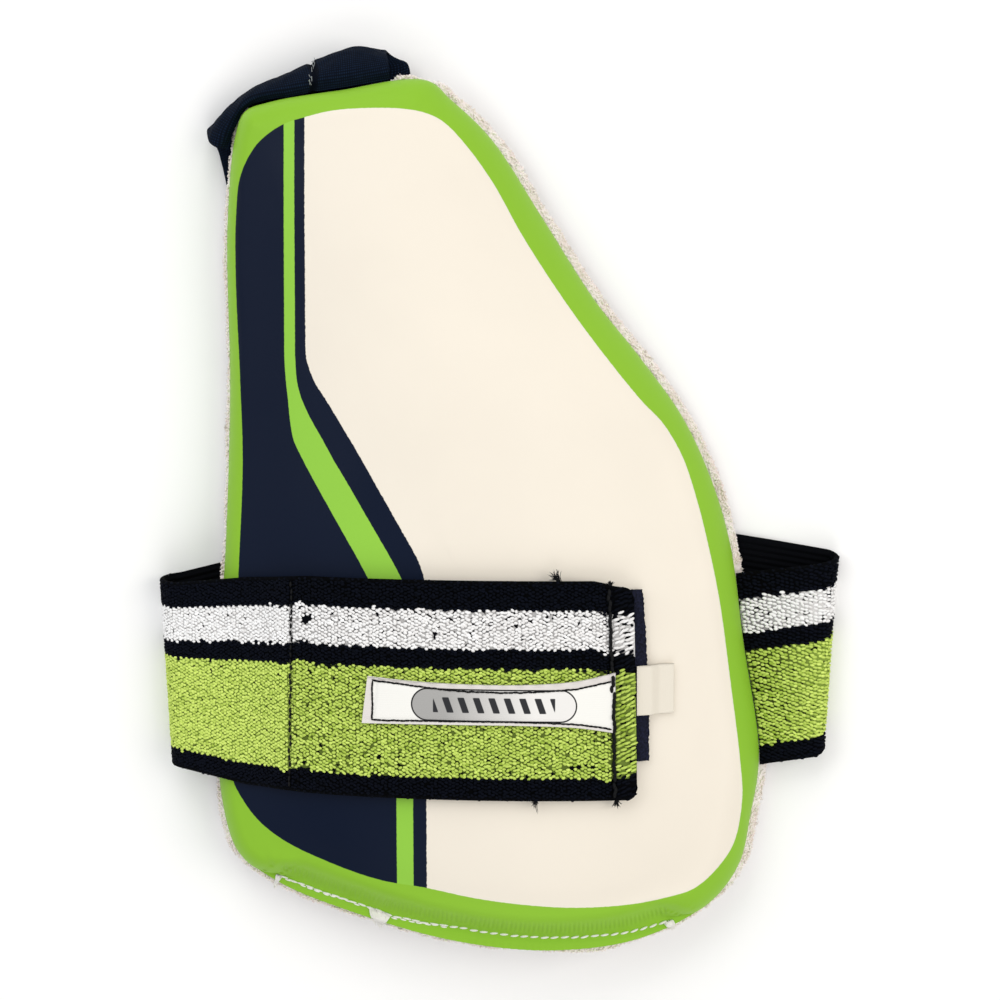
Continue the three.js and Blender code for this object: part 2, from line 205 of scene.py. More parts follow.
# A wall of even or varying depth about a grid: each point moved both ways along the grid's normal, the rim closed.
def wallFromGrid(grid, above, below):
    normal = gridNormals(grid)
    rows, columns = grid.shape[:2]
    above, below = (np.broadcast_to(depth, (rows, columns))[..., None] for depth in (above, below))
    points = np.concatenate([(grid + normal * above).reshape(-1, 3), (grid - normal * below).reshape(-1, 3)])
    half = rows * columns
    top = gridQuads(rows, columns)[:, ::-1]
    low = gridQuads(rows, columns, start=half)
    i, j = np.arange(rows - 1), np.arange(columns - 1)
    left, right = i * columns, i * columns + columns - 1
    near, far = j, (rows - 1) * columns + j
    sides = [
        np.stack([left, left + columns, left + columns + half, left + half], axis=1),
        np.stack([right, right + half, right + columns + half, right + columns], axis=1),
        np.stack([near, near + half, near + 1 + half, near + 1], axis=1),
        np.stack([far, far + 1, far + 1 + half, far + half], axis=1),
    ]
    return points, np.concatenate([top, low, *sides])[:, ::-1]


# Values of a grid for both sides of its wall.
def doubled(values):
    return np.concatenate([values.ravel()] * 2)


# Puts points (mm) and faces into a mesh piece that rides on the one body; values are named numbers per point.
def addPiece(name, points, faces, material, node=None, values=None, uv=None):
    groups = faces if isinstance(faces, list) else [faces]
    mesh = bpy.data.meshes.new(name)
    mesh.vertices.add(len(points))
    mesh.vertices.foreach_set("co", ((points + frameShift) * mm).astype(np.float32).ravel())
    corners = np.concatenate([g.ravel() for g in groups]).astype(np.int32)
    sizes = np.concatenate([np.full(len(g), g.shape[1], np.int32) for g in groups])
    mesh.loops.add(len(corners))
    mesh.loops.foreach_set("vertex_index", corners)
    mesh.polygons.add(len(sizes))
    mesh.polygons.foreach_set("loop_start", np.concatenate([[0], np.cumsum(sizes)[:-1]]).astype(np.int32))
    mesh.update(calc_edges=True)
    mesh.polygons.foreach_set("use_smooth", np.ones(len(sizes), bool))
    for key, numbers in (values or {}).items():
        mesh.attributes.new(key, "FLOAT", "POINT").data.foreach_set("value", numbers.astype(np.float32))
    if uv is not None:
        layer = mesh.uv_layers.new(name="cloth")
        layer.data.foreach_set("uv", uv[corners].astype(np.float32).ravel())
    mesh.validate()
    piece = bpy.data.objects.new(name, mesh)
    scene.collection.objects.link(piece)
    mesh.materials.append(material)
    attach(piece, "root")
    if node:
        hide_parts(node)
    return piece


# Bean: rings about the x axis, radius the root of 1 - x squared, its two ends bowed down by bow times x squared.
def beanShape(around, rings, bow):
    x = -np.cos(np.linspace(0, math.pi, rings + 2)[1:-1])
    turn = np.arange(around) * 2 * math.pi / around
    radius = np.sqrt(1 - x**2)
    y, z = (np.outer(radius, wave(turn)).ravel() for wave in (np.cos, np.sin))
    points = np.concatenate([[[-1.0, 0, 0]], np.stack([np.repeat(x, around), y, z], axis=1), [[1.0, 0, 0]]])
    points[:, 2] -= bow * points[:, 0] ** 2
    ring, last = np.arange(around), len(points) - 1
    caps = np.concatenate([fan(0, 1 + ring), fan(last, last - around + ring, flip=True)])
    return points, gridQuads(rings, around, wrap=True, start=1), caps


# One bean per place: its three axes carry the bean's own x, y and z, sizes are half lengths. Each has one tone.
def scatterBeans(places, along, up, sizes, shape):
    points, quads, caps = shape
    along = unit(along)
    side = unit(np.cross(up, along))
    rise = np.cross(along, side)
    axes = np.stack([along * sizes[:, :1], side * sizes[:, 1:2], rise * sizes[:, 2:3]], axis=1)
    out = places[:, None, :] + np.einsum("vk,nkc->nvc", points, axes)
    shift = (np.arange(len(places)) * len(points))[:, None, None]
    faces = [(quads[None] + shift).reshape(-1, 4), (caps[None] + shift).reshape(-1, 3)]
    return out.reshape(-1, 3), faces, np.repeat(rng.random(len(places)), len(points))


# Round threads along many paths (thread, step, coordinate): a ring of corners about each step, pinched to a point
# at each end.
def threadTubes(paths, radius, corners=5):
    count, steps = paths.shape[:2]
    along = unit(np.gradient(paths, axis=1))
    guide = np.where(np.abs(along[..., 2:]) > 0.9, [[[1.0, 0, 0]]], [[[0, 0, 1.0]]])
    side = unit(np.cross(along, guide))
    lift = np.cross(side, along)
    turn = np.arange(corners) * 2 * math.pi / corners
    taper = np.sqrt(np.clip(1 - np.linspace(-1, 1, steps) ** 8, 0.02, 1))
    ring = side[:, :, None] * np.cos(turn)[:, None] + lift[:, :, None] * np.sin(turn)[:, None]
    wide = np.broadcast_to(radius, (count,))[:, None] * taper
    points = paths[:, :, None] + ring * wide[..., None, None]
    quads = gridQuads(steps, corners, wrap=True)
    ends = np.stack([np.arange(corners), (steps - 1) * corners + np.arange(corners)[::-1]])
    shift = (np.arange(count) * steps * corners)[:, None, None]
    return points.reshape(-1, 3), [(quads[None] + shift).reshape(-1, 4), (ends[None] + shift).reshape(-1, corners)]


# sRGB hex to linear.
def colour(code):
    values = np.array([int(code[k:k + 2], 16) for k in (1, 3, 5)]) / 255
    linear = np.where(values <= 0.04045, values / 12.92, ((values + 0.055) / 1.055) ** 2.4)
    return (*linear, 1.0)


# Scale of a pattern whose cells are so many mm wide.
def perCell(width):
    return 1 / (width * mm)


# Scale of a wave whose ribs are so many mm apart: at scale 1 a rib is a tenth of pi long.
def perRib(pitch):
    return math.pi / 10 / (pitch * mm)


# Sockets of a colour mix, by number: its share, the two colours and the result.
mixShare, mixFrom, mixTo, mixOut = 0, 6, 7, 2


# Adds one node and gives one of its outputs: settings are its properties, inputs are values or sockets to link,
# stops are the places and colours of a ramp.
def addNode(tree, kind, inputs=None, out=0, stops=(), **settings):
    made = tree.nodes.new("ShaderNode" + kind)
    for key, value in settings.items():
        setattr(made, key, value)
    for key, value in (inputs or {}).items():
        if isinstance(value, bpy.types.NodeSocket):
            tree.links.new(value, made.inputs[key])
        else:
            made.inputs[key].default_value = value
    for number, (position, code) in enumerate(stops):
        ramp = made.color_ramp.elements
        stop = ramp[number] if number < 2 else ramp.new(position)
        stop.position, stop.color = position, colour(code)
    return made.outputs[out] if made.outputs else made


# Starts a material: gives it, the function that adds a node to it, and the place on the object.
def newMaterial(name):
    material = bpy.data.materials.new(name)
    material.use_nodes = True
    material.node_tree.nodes.clear()
    node = functools.partial(addNode, material.node_tree)
    return material, node, node("TexCoord", out="Object")


# Ends a material: the shader takes a value or a link for each socket named.
def shadeWith(node, **sockets):
    shader = node("BsdfPrincipled", {key.replace("_", " "): value for key, value in sockets.items()})
    node("OutputMaterial", {0: shader})


# Camera: nearly straight above, 0.9 m over the pad and leaning 5 degrees toward its top end. The frame is 0.35 m
# wide there.
view = dict(target=(0.00001, 0.00108, 0.010), away=0.9, lean=5.0, width=0.35, sensor=36)
lean = math.radians(view["lean"])
camera = bpy.data.objects.new("camera", bpy.data.cameras.new("camera"))
scene.collection.objects.link(camera)
camera.data.sensor_width = view["sensor"]
camera.data.lens = view["sensor"] * view["away"] / view["width"]
camera.location = (
    view["target"][0],
    view["target"][1] + view["away"] * math.sin(lean),
    view["target"][2] + view["away"] * math.cos(lean),
)
camera.rotation_euler = (-lean, 0, 0)
scene.camera = camera
print("camera set")

# Pad: edge of the printed cover (clockwise from the top right corner), arch of the back across the thigh, depth of
# the foam, and the flat sewn lip along the bottom.
pad = dict(
    edge=[
        (-25, 144.3), (-17, 138), (-3, 124.5), (15, 97), (33, 69), (49, 49), (64, 28), (74, 6.5), (80.5, -15),
        (85.5, -50), (91.5, -91), (88.5, -112), (84.5, -129), (74, -142), (50, -153), (19, -156.3), (-14, -153),
        (-50, -144), (-79, -134), (-92, -125), (-97.5, -110), (-100, -75), (-96, -15), (-94, 40), (-94.3, 95),
        (-91, 126), (-87.5, 134), (-79, 137), (-55, 140.7),
    ],
    archY=(-157, -100, -30, 30, 70, 105, 147),
    archMid=(-4, -4, -6, -16, -30, -41, -52),
    archHalf=(97, 97, 94, 82, 70, 60, 52),
    archRise=(20, 20, 19, 17, 15, 13.5, 13),
    centre=(-15, -20),
    edgeDepth=3, rollDepth=10, crownDepth=6, crownReach=48, rollMid=10, rollSide=3.5,
    lipWidth=4.5, lipRoll=11, lipTurn=(0.5, 0.75), lipEnds=((-88, -70), (72, 56)),
)
rimHeight = walls["strap"] + walls["seat"]
padCentre = np.array(pad["centre"], float)
padEdge = np.array(pad["edge"], float)
fineEdge = evenCurve(padEdge, 720, closed=True)
fineNormal = outlineNormals(fineEdge)


# Underside of the towelling: a parabola across the thigh, its middle, half span and rise read along the length.
def backAt(x, y):
    middle, half, rise = (np.interp(y, pad["archY"], pad[key]) for key in ("archMid", "archHalf", "archRise"))
    return rimHeight + rise * np.maximum(0, 1 - ((x - middle) / half) ** 2)


# Underside of the cover: the back, the towelling on it and the seat between them.
def coverBase(x, y):
    return backAt(x, y) + walls["towel"] + walls["seat"]


# Printed face: edge depth, a quarter ellipse over the rolled edge (an S behind the sewn lip), then a slow crown.
def faceAt(x, y):
    shape = np.shape(x)
    places = np.stack([np.ravel(x), np.ravel(y)], axis=1)
    reach, piece, share = nearestOn(places, fineEdge)
    normal = mix(fineNormal[piece], fineNormal[(piece + 1) % len(fineNormal)], share[:, None])
    beside = fineEdge[piece, 0]
    lip = smooth(*pad["lipTurn"], -normal[:, 1]) * window(*pad["lipEnds"], beside)
    roll = mix(pad["rollMid"] + pad["rollSide"] * normal[:, 0], pad["lipRoll"], lip)
    q = np.clip((reach - lip * pad["lipWidth"]) / roll, 0, 1)
    rolled = pad["rollDepth"] * mix(np.sqrt(1 - (1 - q) ** 2), smooth(-0.15, 1, q), lip)
    crown = pad["crownDepth"] * smooth(0, pad["crownReach"], reach)
    height = coverBase(*xy(places)) + pad["edgeDepth"] + rolled + crown
    return height.reshape(shape)


# The face evened out where two edges are equally near: read on a 2 mm grid, blurred both ways by a bell curve.
def evenedFace(x, y, step=2.0, spread=7.0):
    gridX, gridY = np.arange(-130, 131, step), np.arange(-190, 191, step)
    levels = faceAt(*np.meshgrid(gridX, gridY, indexing="ij"))
    for axis in (0, 1):
        levels = np.apply_along_axis(np.convolve, axis, levels, bellWeights(12, spread / step), mode="same")
    i, j = (np.floor((value - grid[0]) / step).astype(int) for value, grid in ((x, gridX), (y, gridY)))
    u, v = (x - gridX[i]) / step, (y - gridY[j]) / step
    return mix(mix(levels[i, j], levels[i + 1, j], u), mix(levels[i, j + 1], levels[i + 1, j + 1], u), v)


# The outline moved in square to itself by each depth, along lines that run to the pad's centre.
def insetRings(outline, normal, depths):
    inward = unit(padCentre - outline)
    square = np.maximum(0.6, -(inward * normal).sum(axis=1))
    return outline + np.asarray(depths)[:, None, None] * (inward / square[:, None])


# An outline drawn in to the pad's centre, to each share of its size.
def drawnIn(outline, shares):
    return padCentre + np.asarray(shares)[:, None, None] * (outline - padCentre)


# Printed areas. The inner print's outline lies inside the green border; three lines part it into navy band, green
# stripe, navy line and white panel. A line row gives the x of the three at a height, softened over a few millimetres.
printed = dict(
    outline=[
        (-65.5, 131.3), (-56, 133.4), (-43, 134.2), (-32, 133.9), (-25, 132.6), (-19.5, 130), (-13, 123.7), (-3, 110.3),
        (8.5, 90), (26.7, 62.8), (48.4, 35.3), (55.5, 28), (60, 21.4), (63.5, 14.5), (66, 7.5), (70, -6.5), (76, -34),
        (80, -62), (83.7, -90.3), (84.7, -104), (82.2, -118.8), (77.5, -126), (68.2, -133.9), (58.2, -136.7),
        (46.6, -138.4), (24, -138.7), (-5.7, -135.4), (-25, -131.6), (-42, -129.2), (-61.5, -123), (-75, -117),
        (-84, -110.6), (-89.5, -104), (-93.2, -97), (-93.5, -85), (-92.5, -60), (-90.3, -21), (-88.7, 14), (-89.4, 42),
        (-90.6, 76), (-90.3, 98), (-88.6, 111.5), (-83.6, 121), (-79, 125.4), (-73, 129),
    ],
    lineY=(-140, -50, -42, -32, -24, -18, 9, 15, 22, 29, 36, 42, 50, 150),
    band=(-35.4, -35.2, -36, -40.5, -45, -48.2, -63.7, -67, -70.6, -71.7, -72.3, -73, -73.5, -73),
    stripe=(-29.7, -29.5, -29.6, -30.2, -33.5, -36.7, -52.4, -56.2, -60, -64.2, -67.6, -69.2, -69.7, -69.4),
    line=(-25.1, -25, -25, -25, -25.6, -27.6, -42.9, -46.3, -50.4, -54.7, -59, -63.2, -66, -66),
    soften=1.6,
)


# Distance right of a printed line: the sideways gap shortened by the line's slope.
def rightOf(key, x, y, step=0.5, reach=12):
    fineY = np.arange(-165, 165, step)
    raw = np.interp(fineY, printed["lineY"], printed[key])
    weights = bellWeights(reach, printed["soften"] / step)
    soft = np.convolve(np.pad(raw, reach, mode="edge"), weights, mode="valid")
    slope = np.interp(y, fineY, np.gradient(soft, step))
    return (x - np.interp(y, fineY, soft)) / np.sqrt(1 + slope**2)


# White lockstitch through the lip of the cover, from the lower left corner to the lower right one.
lockstitch = dict(
    line=[
        (-77.5, -132.5), (-63.4, -136.8), (-45, -142), (-37.5, -144.6), (-24, -146.9), (-14, -148), (-4, -149.8),
        (10, -151.3), (18, -151.8), (31.4, -151.8), (43, -151.2), (52, -149.6), (60, -147.6),
    ],
    groove=0.75, grooveReach=1.3, gather=0.24, gatherPitch=2.6, gatherAway=4.4, gatherReach=2.2,
    single=dict(pitch=3.55, length=3.1, width=0.9, tilt=0.16), singleFrom=0.44,
    first=dict(pitch=3.3, length=3.3, width=0.75, loose=0.14), again=dict(pitch=2.9, length=2.4, width=0.62, loose=0.2),
)
stitchLine = evenCurve(np.array(lockstitch["line"], float), 400)
stitchRun = walked(stitchLine)[-1]

# Wear of the face: each crease gives its place, angle, length and depth; the slow unevenness its depth and length.
wear = dict(creases=((-80, -127, 1.9, 6, 0.35), (-76, -127.5, 1.7, 5, 0.3)), creaseWidth=1.1, slow=0.22, slowLength=61)


# Distance of places from the lockstitch, and how far along it they are.
def nearStitch(places):
    away, piece, share = nearestOn(places, stitchLine, closed=False)
    return away, (piece + share) / (len(stitchLine) - 1) * stitchRun


# What sewing and handling do to the face: a groove along the lockstitch with gathers behind it, two short creases
# at the lower left corner, and a slow unevenness of the foam.
def faceWear(x, y):
    places = np.stack([np.ravel(x), np.ravel(y)], axis=1)
    away, run = nearStitch(places)
    ends = window((0, 3), (stitchRun, stitchRun - 3), run)
    groove = -lockstitch["groove"] * bell(away / lockstitch["grooveReach"])
    uneven = 0.6 + 0.4 * np.sin(run / 11)
    wave = np.sin(2 * math.pi * run / lockstitch["gatherPitch"] + 1.5 * np.sin(run / 5)) * uneven
    gathers = lockstitch["gather"] * wave * bell((away - lockstitch["gatherAway"]) / lockstitch["gatherReach"])
    height = (groove + gathers) * ends + wear["slow"] * ripple(*xy(places), wear["slowLength"], 1.3)
    for cx, cy, angle, length, deep in wear["creases"]:
        u, v = places[:, 0] - cx, places[:, 1] - cy
        onward = u * math.cos(angle) + v * math.sin(angle)
        aside = v * math.cos(angle) - u * math.sin(angle)
        height = height - deep * bell(onward / length) * bell(aside / wear["creaseWidth"])
    return height.reshape(np.shape(x))


# Coated leather cloth, screen printed: satin, finely grained, with faintly uneven print edges.
inks = dict(green="#8DC135", stripe="#94CD48", navy="#08142A", white="#F0E8DA")
coverSkin, node, place = newMaterial("printed_coated_leather")
wobble = node("TexNoise", {"Vector": place, "Scale": perCell(1.111), "Detail": 2.0})  # waver of the print
wander = node("MapRange", {"Value": wobble, "From Min": 0.3, "From Max": 0.7, "To Min": -0.05, "To Max": 0.05})
sides = {}
for key, rough in dict(printIn=1.0, band=1.0, stripe=1.0, line=2.2).items():
    signed = node("Attribute", out="Fac", attribute_name=key)
    moved = node("Math", {0: wander, 1: rough, 2: signed}, operation="MULTIPLY_ADD")
    edge = {"Value": moved, "From Min": -0.12, "From Max": 0.12}
    sides[key] = node("MapRange", edge, interpolation_type="SMOOTHSTEP")
ink = colour(inks["navy"])
for side, dye in (("band", "stripe"), ("stripe", "navy"), ("line", "white")):
    layer = {mixShare: sides[side], mixFrom: ink, mixTo: colour(inks[dye])}
    ink = node("Mix", layer, mixOut, data_type="RGBA")
border = {mixShare: sides["printIn"], mixFrom: colour(inks["green"]), mixTo: ink}
ink = node("Mix", border, mixOut, data_type="RGBA")
cloud = node("TexNoise", {"Vector": place, "Scale": perCell(35.7), "Detail": 4.0})  # patches of handling
shade, rough = (
    node("MapRange", {"Value": cloud, "From Min": 0.3, "From Max": 0.7, "To Min": low, "To Max": high})
    for low, high in ((0.985, 1.01), (0.4, 0.52))
)
ink = node("VectorMath", {0: ink, 1: shade}, operation="MULTIPLY")
grain = node("TexVoronoi", {"Vector": place, "Scale": perCell(0.909)}, feature="SMOOTH_F1")
pores = node("TexNoise", {"Vector": place, "Scale": perCell(2.381), "Detail": 5.0})
height = node("Math", {0: grain, 1: 0.4, 2: pores}, operation="MULTIPLY_ADD")
bump = node("Bump", {"Height": height, "Strength": 0.12, "Distance": 0.2 * mm})
gathered = node("Attribute", out="Fac", attribute_name="gathered")  # 1 in the gathers behind the lockstitch
alongSeam = node("Attribute", out="Fac", attribute_name="alongSeam")
ticks = node("Math", {0: alongSeam, 1: 2 * math.pi / 1.6}, operation="MULTIPLY")  # 1.6 mm apart
ticks = node("Math", {0: ticks}, operation="SINE")
ticks = node("Math", {0: ticks, 1: gathered}, operation="MULTIPLY")
bump = node("Bump", {"Height": ticks, "Strength": 0.4, "Distance": 0.4 * mm, "Normal": bump})
shadeWith(node, Base_Color=ink, Roughness=rough, Specular_IOR_Level=0.12, Normal=bump)

# Swell of the padding, by simulation: some points of some rings as a cloth with a little pressure under it, held at
# the rim and where the strap is pressed on, for twenty steps. Its lift is capped, read back on all the rings and
# evened by a bell curve, whose reach and spread count points around and rings across.
swell = dict(
    rings=30, every=8, pressure=4.0, mass=0.12, steps=20, cap=1.0, rim=(9, 24), pressed=((-113, -101), (-14, -26)),
    evenAround=(16, 7), evenAcross=(4, 1.8),
)


# Lift in mm of every point of the rings, from their places in plan and their heights.
def swellOf(plan, heights):
    rows = np.unique(np.linspace(0, len(plan) - 1, swell["rings"]).astype(int))
    coarse, level = plan[rows, :: swell["every"]], heights[rows, :: swell["every"]]
    count = coarse.shape[1]
    points = np.column_stack([coarse.reshape(-1, 2), level.ravel()])
    points = np.concatenate([points, [[*padCentre, level[0].mean()]]])
    faces = gridQuads(len(rows), count, wrap=True).tolist() + fan(len(points) - 1, np.arange(count)).tolist()
    mesh = bpy.data.meshes.new("swell")
    mesh.from_pydata((points * mm).tolist(), [], faces)
    cloth = bpy.data.objects.new("swell", mesh)
    scene.collection.objects.link(cloth)
    under = window(*swell["pressed"], points[:, 1])
    held = 1 - smooth(*swell["rim"], nearestOn(points[:, :2], fineEdge)[0]) * (1 - under)
    group = cloth.vertex_groups.new(name="held")
    for tenth in range(1, 11):
        group.add(np.flatnonzero(np.round(held * 10) == tenth).tolist(), tenth / 10, "REPLACE")
    skin = cloth.modifiers.new("swell", "CLOTH")
    skin.settings.vertex_group_mass = "held"
    skin.settings.mass = swell["mass"]
    skin.settings.use_pressure = True
    skin.settings.uniform_pressure_force = swell["pressure"]
    skin.settings.effector_weights.gravity = 0
    for step in range(1, swell["steps"] + 1):
        scene.frame_set(step)
    moved = np.empty(3 * len(points))
    cloth.evaluated_get(bpy.context.evaluated_depsgraph_get()).data.vertices.foreach_get("co", moved)
    lift = np.clip(moved[2::3] / mm - points[:, 2], 0, swell["cap"])[:-1].reshape(len(rows), count)
    bpy.data.objects.remove(cloth)
    scene.frame_set(1)
    print("swell: up to", round(float(lift.max()), 2), "mm")
    spot = np.arange(plan.shape[1]) / swell["every"]
    near = np.floor(spot).astype(int)
    lift = mix(lift[:, near], lift[:, (near + 1) % count], spot - near)
    before = np.clip(np.searchsorted(rows, np.arange(len(plan)), side="right") - 1, 0, len(rows) - 2)
    part = (np.arange(len(plan)) - rows[before]) / (rows[before + 1] - rows[before])
    lift = mix(lift[before], lift[before + 1], part[:, None])
    reach, spread = swell["evenAround"]
    weights = bellWeights(reach, spread)
    lift = sum(weight * np.roll(lift, k - reach, axis=1) for k, weight in enumerate(weights))
    reach, spread = swell["evenAcross"]
    padded = np.pad(lift, ((reach, reach), (0, 0)), mode="edge")
    return sum(weight * padded[k : k + len(plan)] for k, weight in enumerate(bellWeights(reach, spread)))


# Cover: rings from the pad's centre out over the face, down the edge wall and in again under the foam. The evened
# face takes over from the rolled edge between two depths.
coverGrid = dict(
    around=880, rimRings=42, rimDepth=26, rimCrowd=1.7, innerRings=34, evened=(9, 22), wallRings=5, wallBulge=0.15,
    backShares=(0.96, 0.86, 0.7, 0.45, 0.2),
)
coverEdge = evenCurve(padEdge, coverGrid["around"], closed=True)
coverNormal = outlineNormals(coverEdge)
rimDepths = coverGrid["rimDepth"] * np.linspace(1, 0, coverGrid["rimRings"]) ** coverGrid["rimCrowd"]
rimRings = insetRings(coverEdge, coverNormal, rimDepths)
innerShares = np.linspace(0, 1, coverGrid["innerRings"] + 2)[1:-1]
facePlan = np.concatenate([drawnIn(rimRings[0], innerShares), rimRings])
inside = smooth(*coverGrid["evened"], nearestOn(facePlan.reshape(-1, 2), fineEdge)[0]).reshape(facePlan.shape[:2])
faceHeight = mix(faceAt(*xy(facePlan)), evenedFace(*xy(facePlan)), inside)
faceHeight = faceHeight + swellOf(facePlan, faceHeight)
faceHeight = faceHeight + faceWear(*xy(facePlan))
fall = np.linspace(0, 1, coverGrid["wallRings"] + 1)[1:]
wallPlan = coverEdge + coverNormal * (coverGrid["wallBulge"] * np.sin(math.pi * fall))[:, None, None]
wallHeight = coverBase(*xy(coverEdge)) + pad["edgeDepth"] * (1 - fall)[:, None]
backPlan = drawnIn(coverEdge, coverGrid["backShares"])
coverPoints, coverFaces = closedRings(
    np.concatenate([facePlan, wallPlan, backPlan]),
    np.concatenate([faceHeight, wallHeight, coverBase(*xy(backPlan))]),
    faceHeight[0].mean(), coverBase(*padCentre),
)
coverPlan = coverPoints[:, :2]
printOutline = evenCurve(np.array(printed["outline"], float), 520, closed=True)
printLines = {key: rightOf(key, *xy(coverPlan)) for key in ("band", "stripe", "line")}
away, alongSeam = nearStitch(coverPlan)
fromEdge = nearestOn(coverPlan, fineEdge)[0]
gathered = window((1.5, 3.5), (8.5, 4.5), away) * smooth(4.5, 7.5, fromEdge)
coverPiece = addPiece(
    "pad_cover", coverPoints, coverFaces, coverSkin, "front_shell",
    values=dict(printIn=insideBy(coverPlan, printOutline), gathered=gathered, alongSeam=alongSeam, **printLines),
)
print("cover:", len(coverPoints), "points")

# Cotton towelling: matt looped pile, off white, each loop catching a little light at its edge.
towelling, node, place = newMaterial("cotton_towelling")
tone = node("TexNoise", {"Vector": place, "Scale": perCell(6.25), "Detail": 4.0})  # patches of paler yarn
cotton = node("ValToRGB", {"Fac": tone}, stops=((0.3, "#EFE1DA"), (0.62, "#FCF5F1")))
pile = node("TexVoronoi", {"Vector": place, "Scale": perCell(1.613)})  # loops
bump = node("Bump", {"Height": pile, "Strength": 0.8, "Distance": 0.5 * mm}, invert=True)
shadeWith(
    node, Base_Color=cotton, Roughness=0.95, Specular_IOR_Level=0.1, Sheen_Weight=0.2, Sheen_Roughness=0.6, Normal=bump,
)

# Towelling wall over the back: the cover's edge moved out by a flange, rings over the top, round the rim and under.
# Round the rim are rows of pile loops, in from the outer edge and down the rim, and tufts of fibres.
towel = dict(
    flangeMid=1.95, flangeSide=0.85, flangeTuck=1.9, flangeLip=1.15, flangeCorner=1.7, waver=0.35,
    bulges=((32, -1, 11, 1.3), (-23, 1, 7, -1.5)), around=600, underRings=46, nubs=0.35, rimBulge=0.25,
    topShares=(0.2, 0.45, 0.7, 0.86, 0.94, 0.975, 1.0), roundOff=(0.25, 0.5, 0.75),
    loopPitch=1.0, loopRows=(0.1, 0.8, 1.5, 2.2, 2.9, 3.6), rimRows=(0.7, 1.6), loopSize=(0.64, 0.37, 0.45),
    strapAt=(60, -60, 37), tufts=260, hairs=5, hairSteps=4, hairRadius=0.075,
)
towelBase = evenCurve(padEdge, towel["around"], closed=True)
towelNormal = outlineNormals(towelBase)


# Width of towelling that shows outside the cover: more on the right and at the lower left corner, less along the
# lip, tucked in under the belt loop, wavering along the edge. A bulge, or a dip where it is negative, is a bell about
# an x on the bottom (-1) or the top (1) edge: middle, side, reach and height.
def flangeOf(place, normal):
    x, up = place[:, 0], normal[:, 1]
    corner = towel["flangeCorner"] * smooth(0.7, 1, -(normal[:, 0] + up) * math.sqrt(0.5))
    tuck = towel["flangeTuck"] * smooth(0.75, 0.95, up) * mix(0.15, 1, smooth(-34, -38, x))
    tuck = tuck + towel["flangeLip"] * smooth(0.4, 0.9, -up)
    bulge = sum(
        out * bell((x - middle) / reach) * smooth(0.6, 0.9, side * up) for middle, side, reach, out in towel["bulges"]
    )
    waver = towel["waver"] * (ripple(*xy(place), 34, 0.6) + 0.5 * ripple(*xy(place), 11, 2.2))
    return np.maximum(towel["flangeMid"] + towel["flangeSide"] * normal[:, 0] + corner - tuck + bulge + waver, 0.2)


towelEdge = towelBase + towelNormal * flangeOf(towelBase, towelNormal)[:, None]
underShares = 1 - np.linspace(0, 0.97, towel["underRings"]) ** 1.15
roundOff = np.array(towel["roundOff"])
topPlan = drawnIn(towelEdge, towel["topShares"])
rimPlan = towelEdge + towelNormal * (towel["rimBulge"] * np.sin(math.pi * roundOff))[:, None, None]
underPlan = drawnIn(towelEdge, underShares)
nubs = towel["nubs"] * rng.random(underPlan.shape[:2]) * smooth(0.0, 0.05, 1 - underShares)[:, None]
towelHeight = np.concatenate([
    backAt(*xy(topPlan)) + walls["towel"],
    backAt(*xy(rimPlan)) + walls["towel"] * (1 - roundOff)[:, None],
    backAt(*xy(underPlan)) + nubs,
])
towelPoints, towelFaces = closedRings(
    np.concatenate([topPlan, rimPlan, underPlan]), towelHeight,
    backAt(*padCentre) + walls["towel"], backAt(*padCentre),
)
towelPiece = addPiece("towel_wall", towelPoints, towelFaces, towelling, "towel_backing")

# Pile loops round the rim: small beans, none where the strap is sewn on.
count = int(walked(towelEdge)[-1] / towel["loopPitch"])
rimBase = evenCurve(padEdge, count, closed=True)
rimNormal = outlineNormals(rimBase)
rimOnward = np.stack([rimNormal[:, 1], -rimNormal[:, 0]], axis=1)
flange = flangeOf(rimBase, rimNormal)
strapLeft, strapMid, strapHalf = towel["strapAt"]
loopPlaces, loopUps = [], []
for inward in towel["loopRows"]:
    out = flange - inward + rng.normal(0, 0.16, count)
    slide = rimOnward * rng.uniform(-0.5, 0.5, count)[:, None]
    spot = rimBase + rimNormal * out[:, None] + slide
    underStrap = (spot[:, 0] > strapLeft) & (np.abs(spot[:, 1] - strapMid) < strapHalf)
    kept = (flange - inward > 0.1) & ~underStrap
    rise = backAt(*xy(spot)) + walls["towel"] + rng.uniform(-0.1, 0.4, count)
    loopPlaces.append(np.column_stack([spot, rise])[kept])
    loopUps.append(np.column_stack([rimNormal * 0.25, np.ones(count)])[kept])
for down in towel["rimRows"]:
    out = flange + 0.1 + rng.normal(0, 0.2, count)
    spot = rimBase + rimNormal * out[:, None]
    kept = flange > 0.8
    loopPlaces.append(np.column_stack([spot, backAt(*xy(spot)) + walls["towel"] - down])[kept])
    loopUps.append(np.column_stack([rimNormal, np.full(count, 0.15)])[kept])
loopPlaces, loopUps = np.concatenate(loopPlaces), unit(np.concatenate(loopUps))
aim = rng.normal(0, 1, loopPlaces.shape)
aim -= loopUps * (aim * loopUps).sum(axis=1, keepdims=True)
sizes = np.array(towel["loopSize"]) * rng.uniform(0.7, 1.3, (len(loopPlaces), 1))
loopPoints, loopFaces, tone = scatterBeans(loopPlaces, aim, loopUps, sizes, beanShape(5, 3, 0.45))
rimLoops = addPiece("towel_rim_loops", loopPoints, loopFaces, towelling, values=dict(tone=tone))

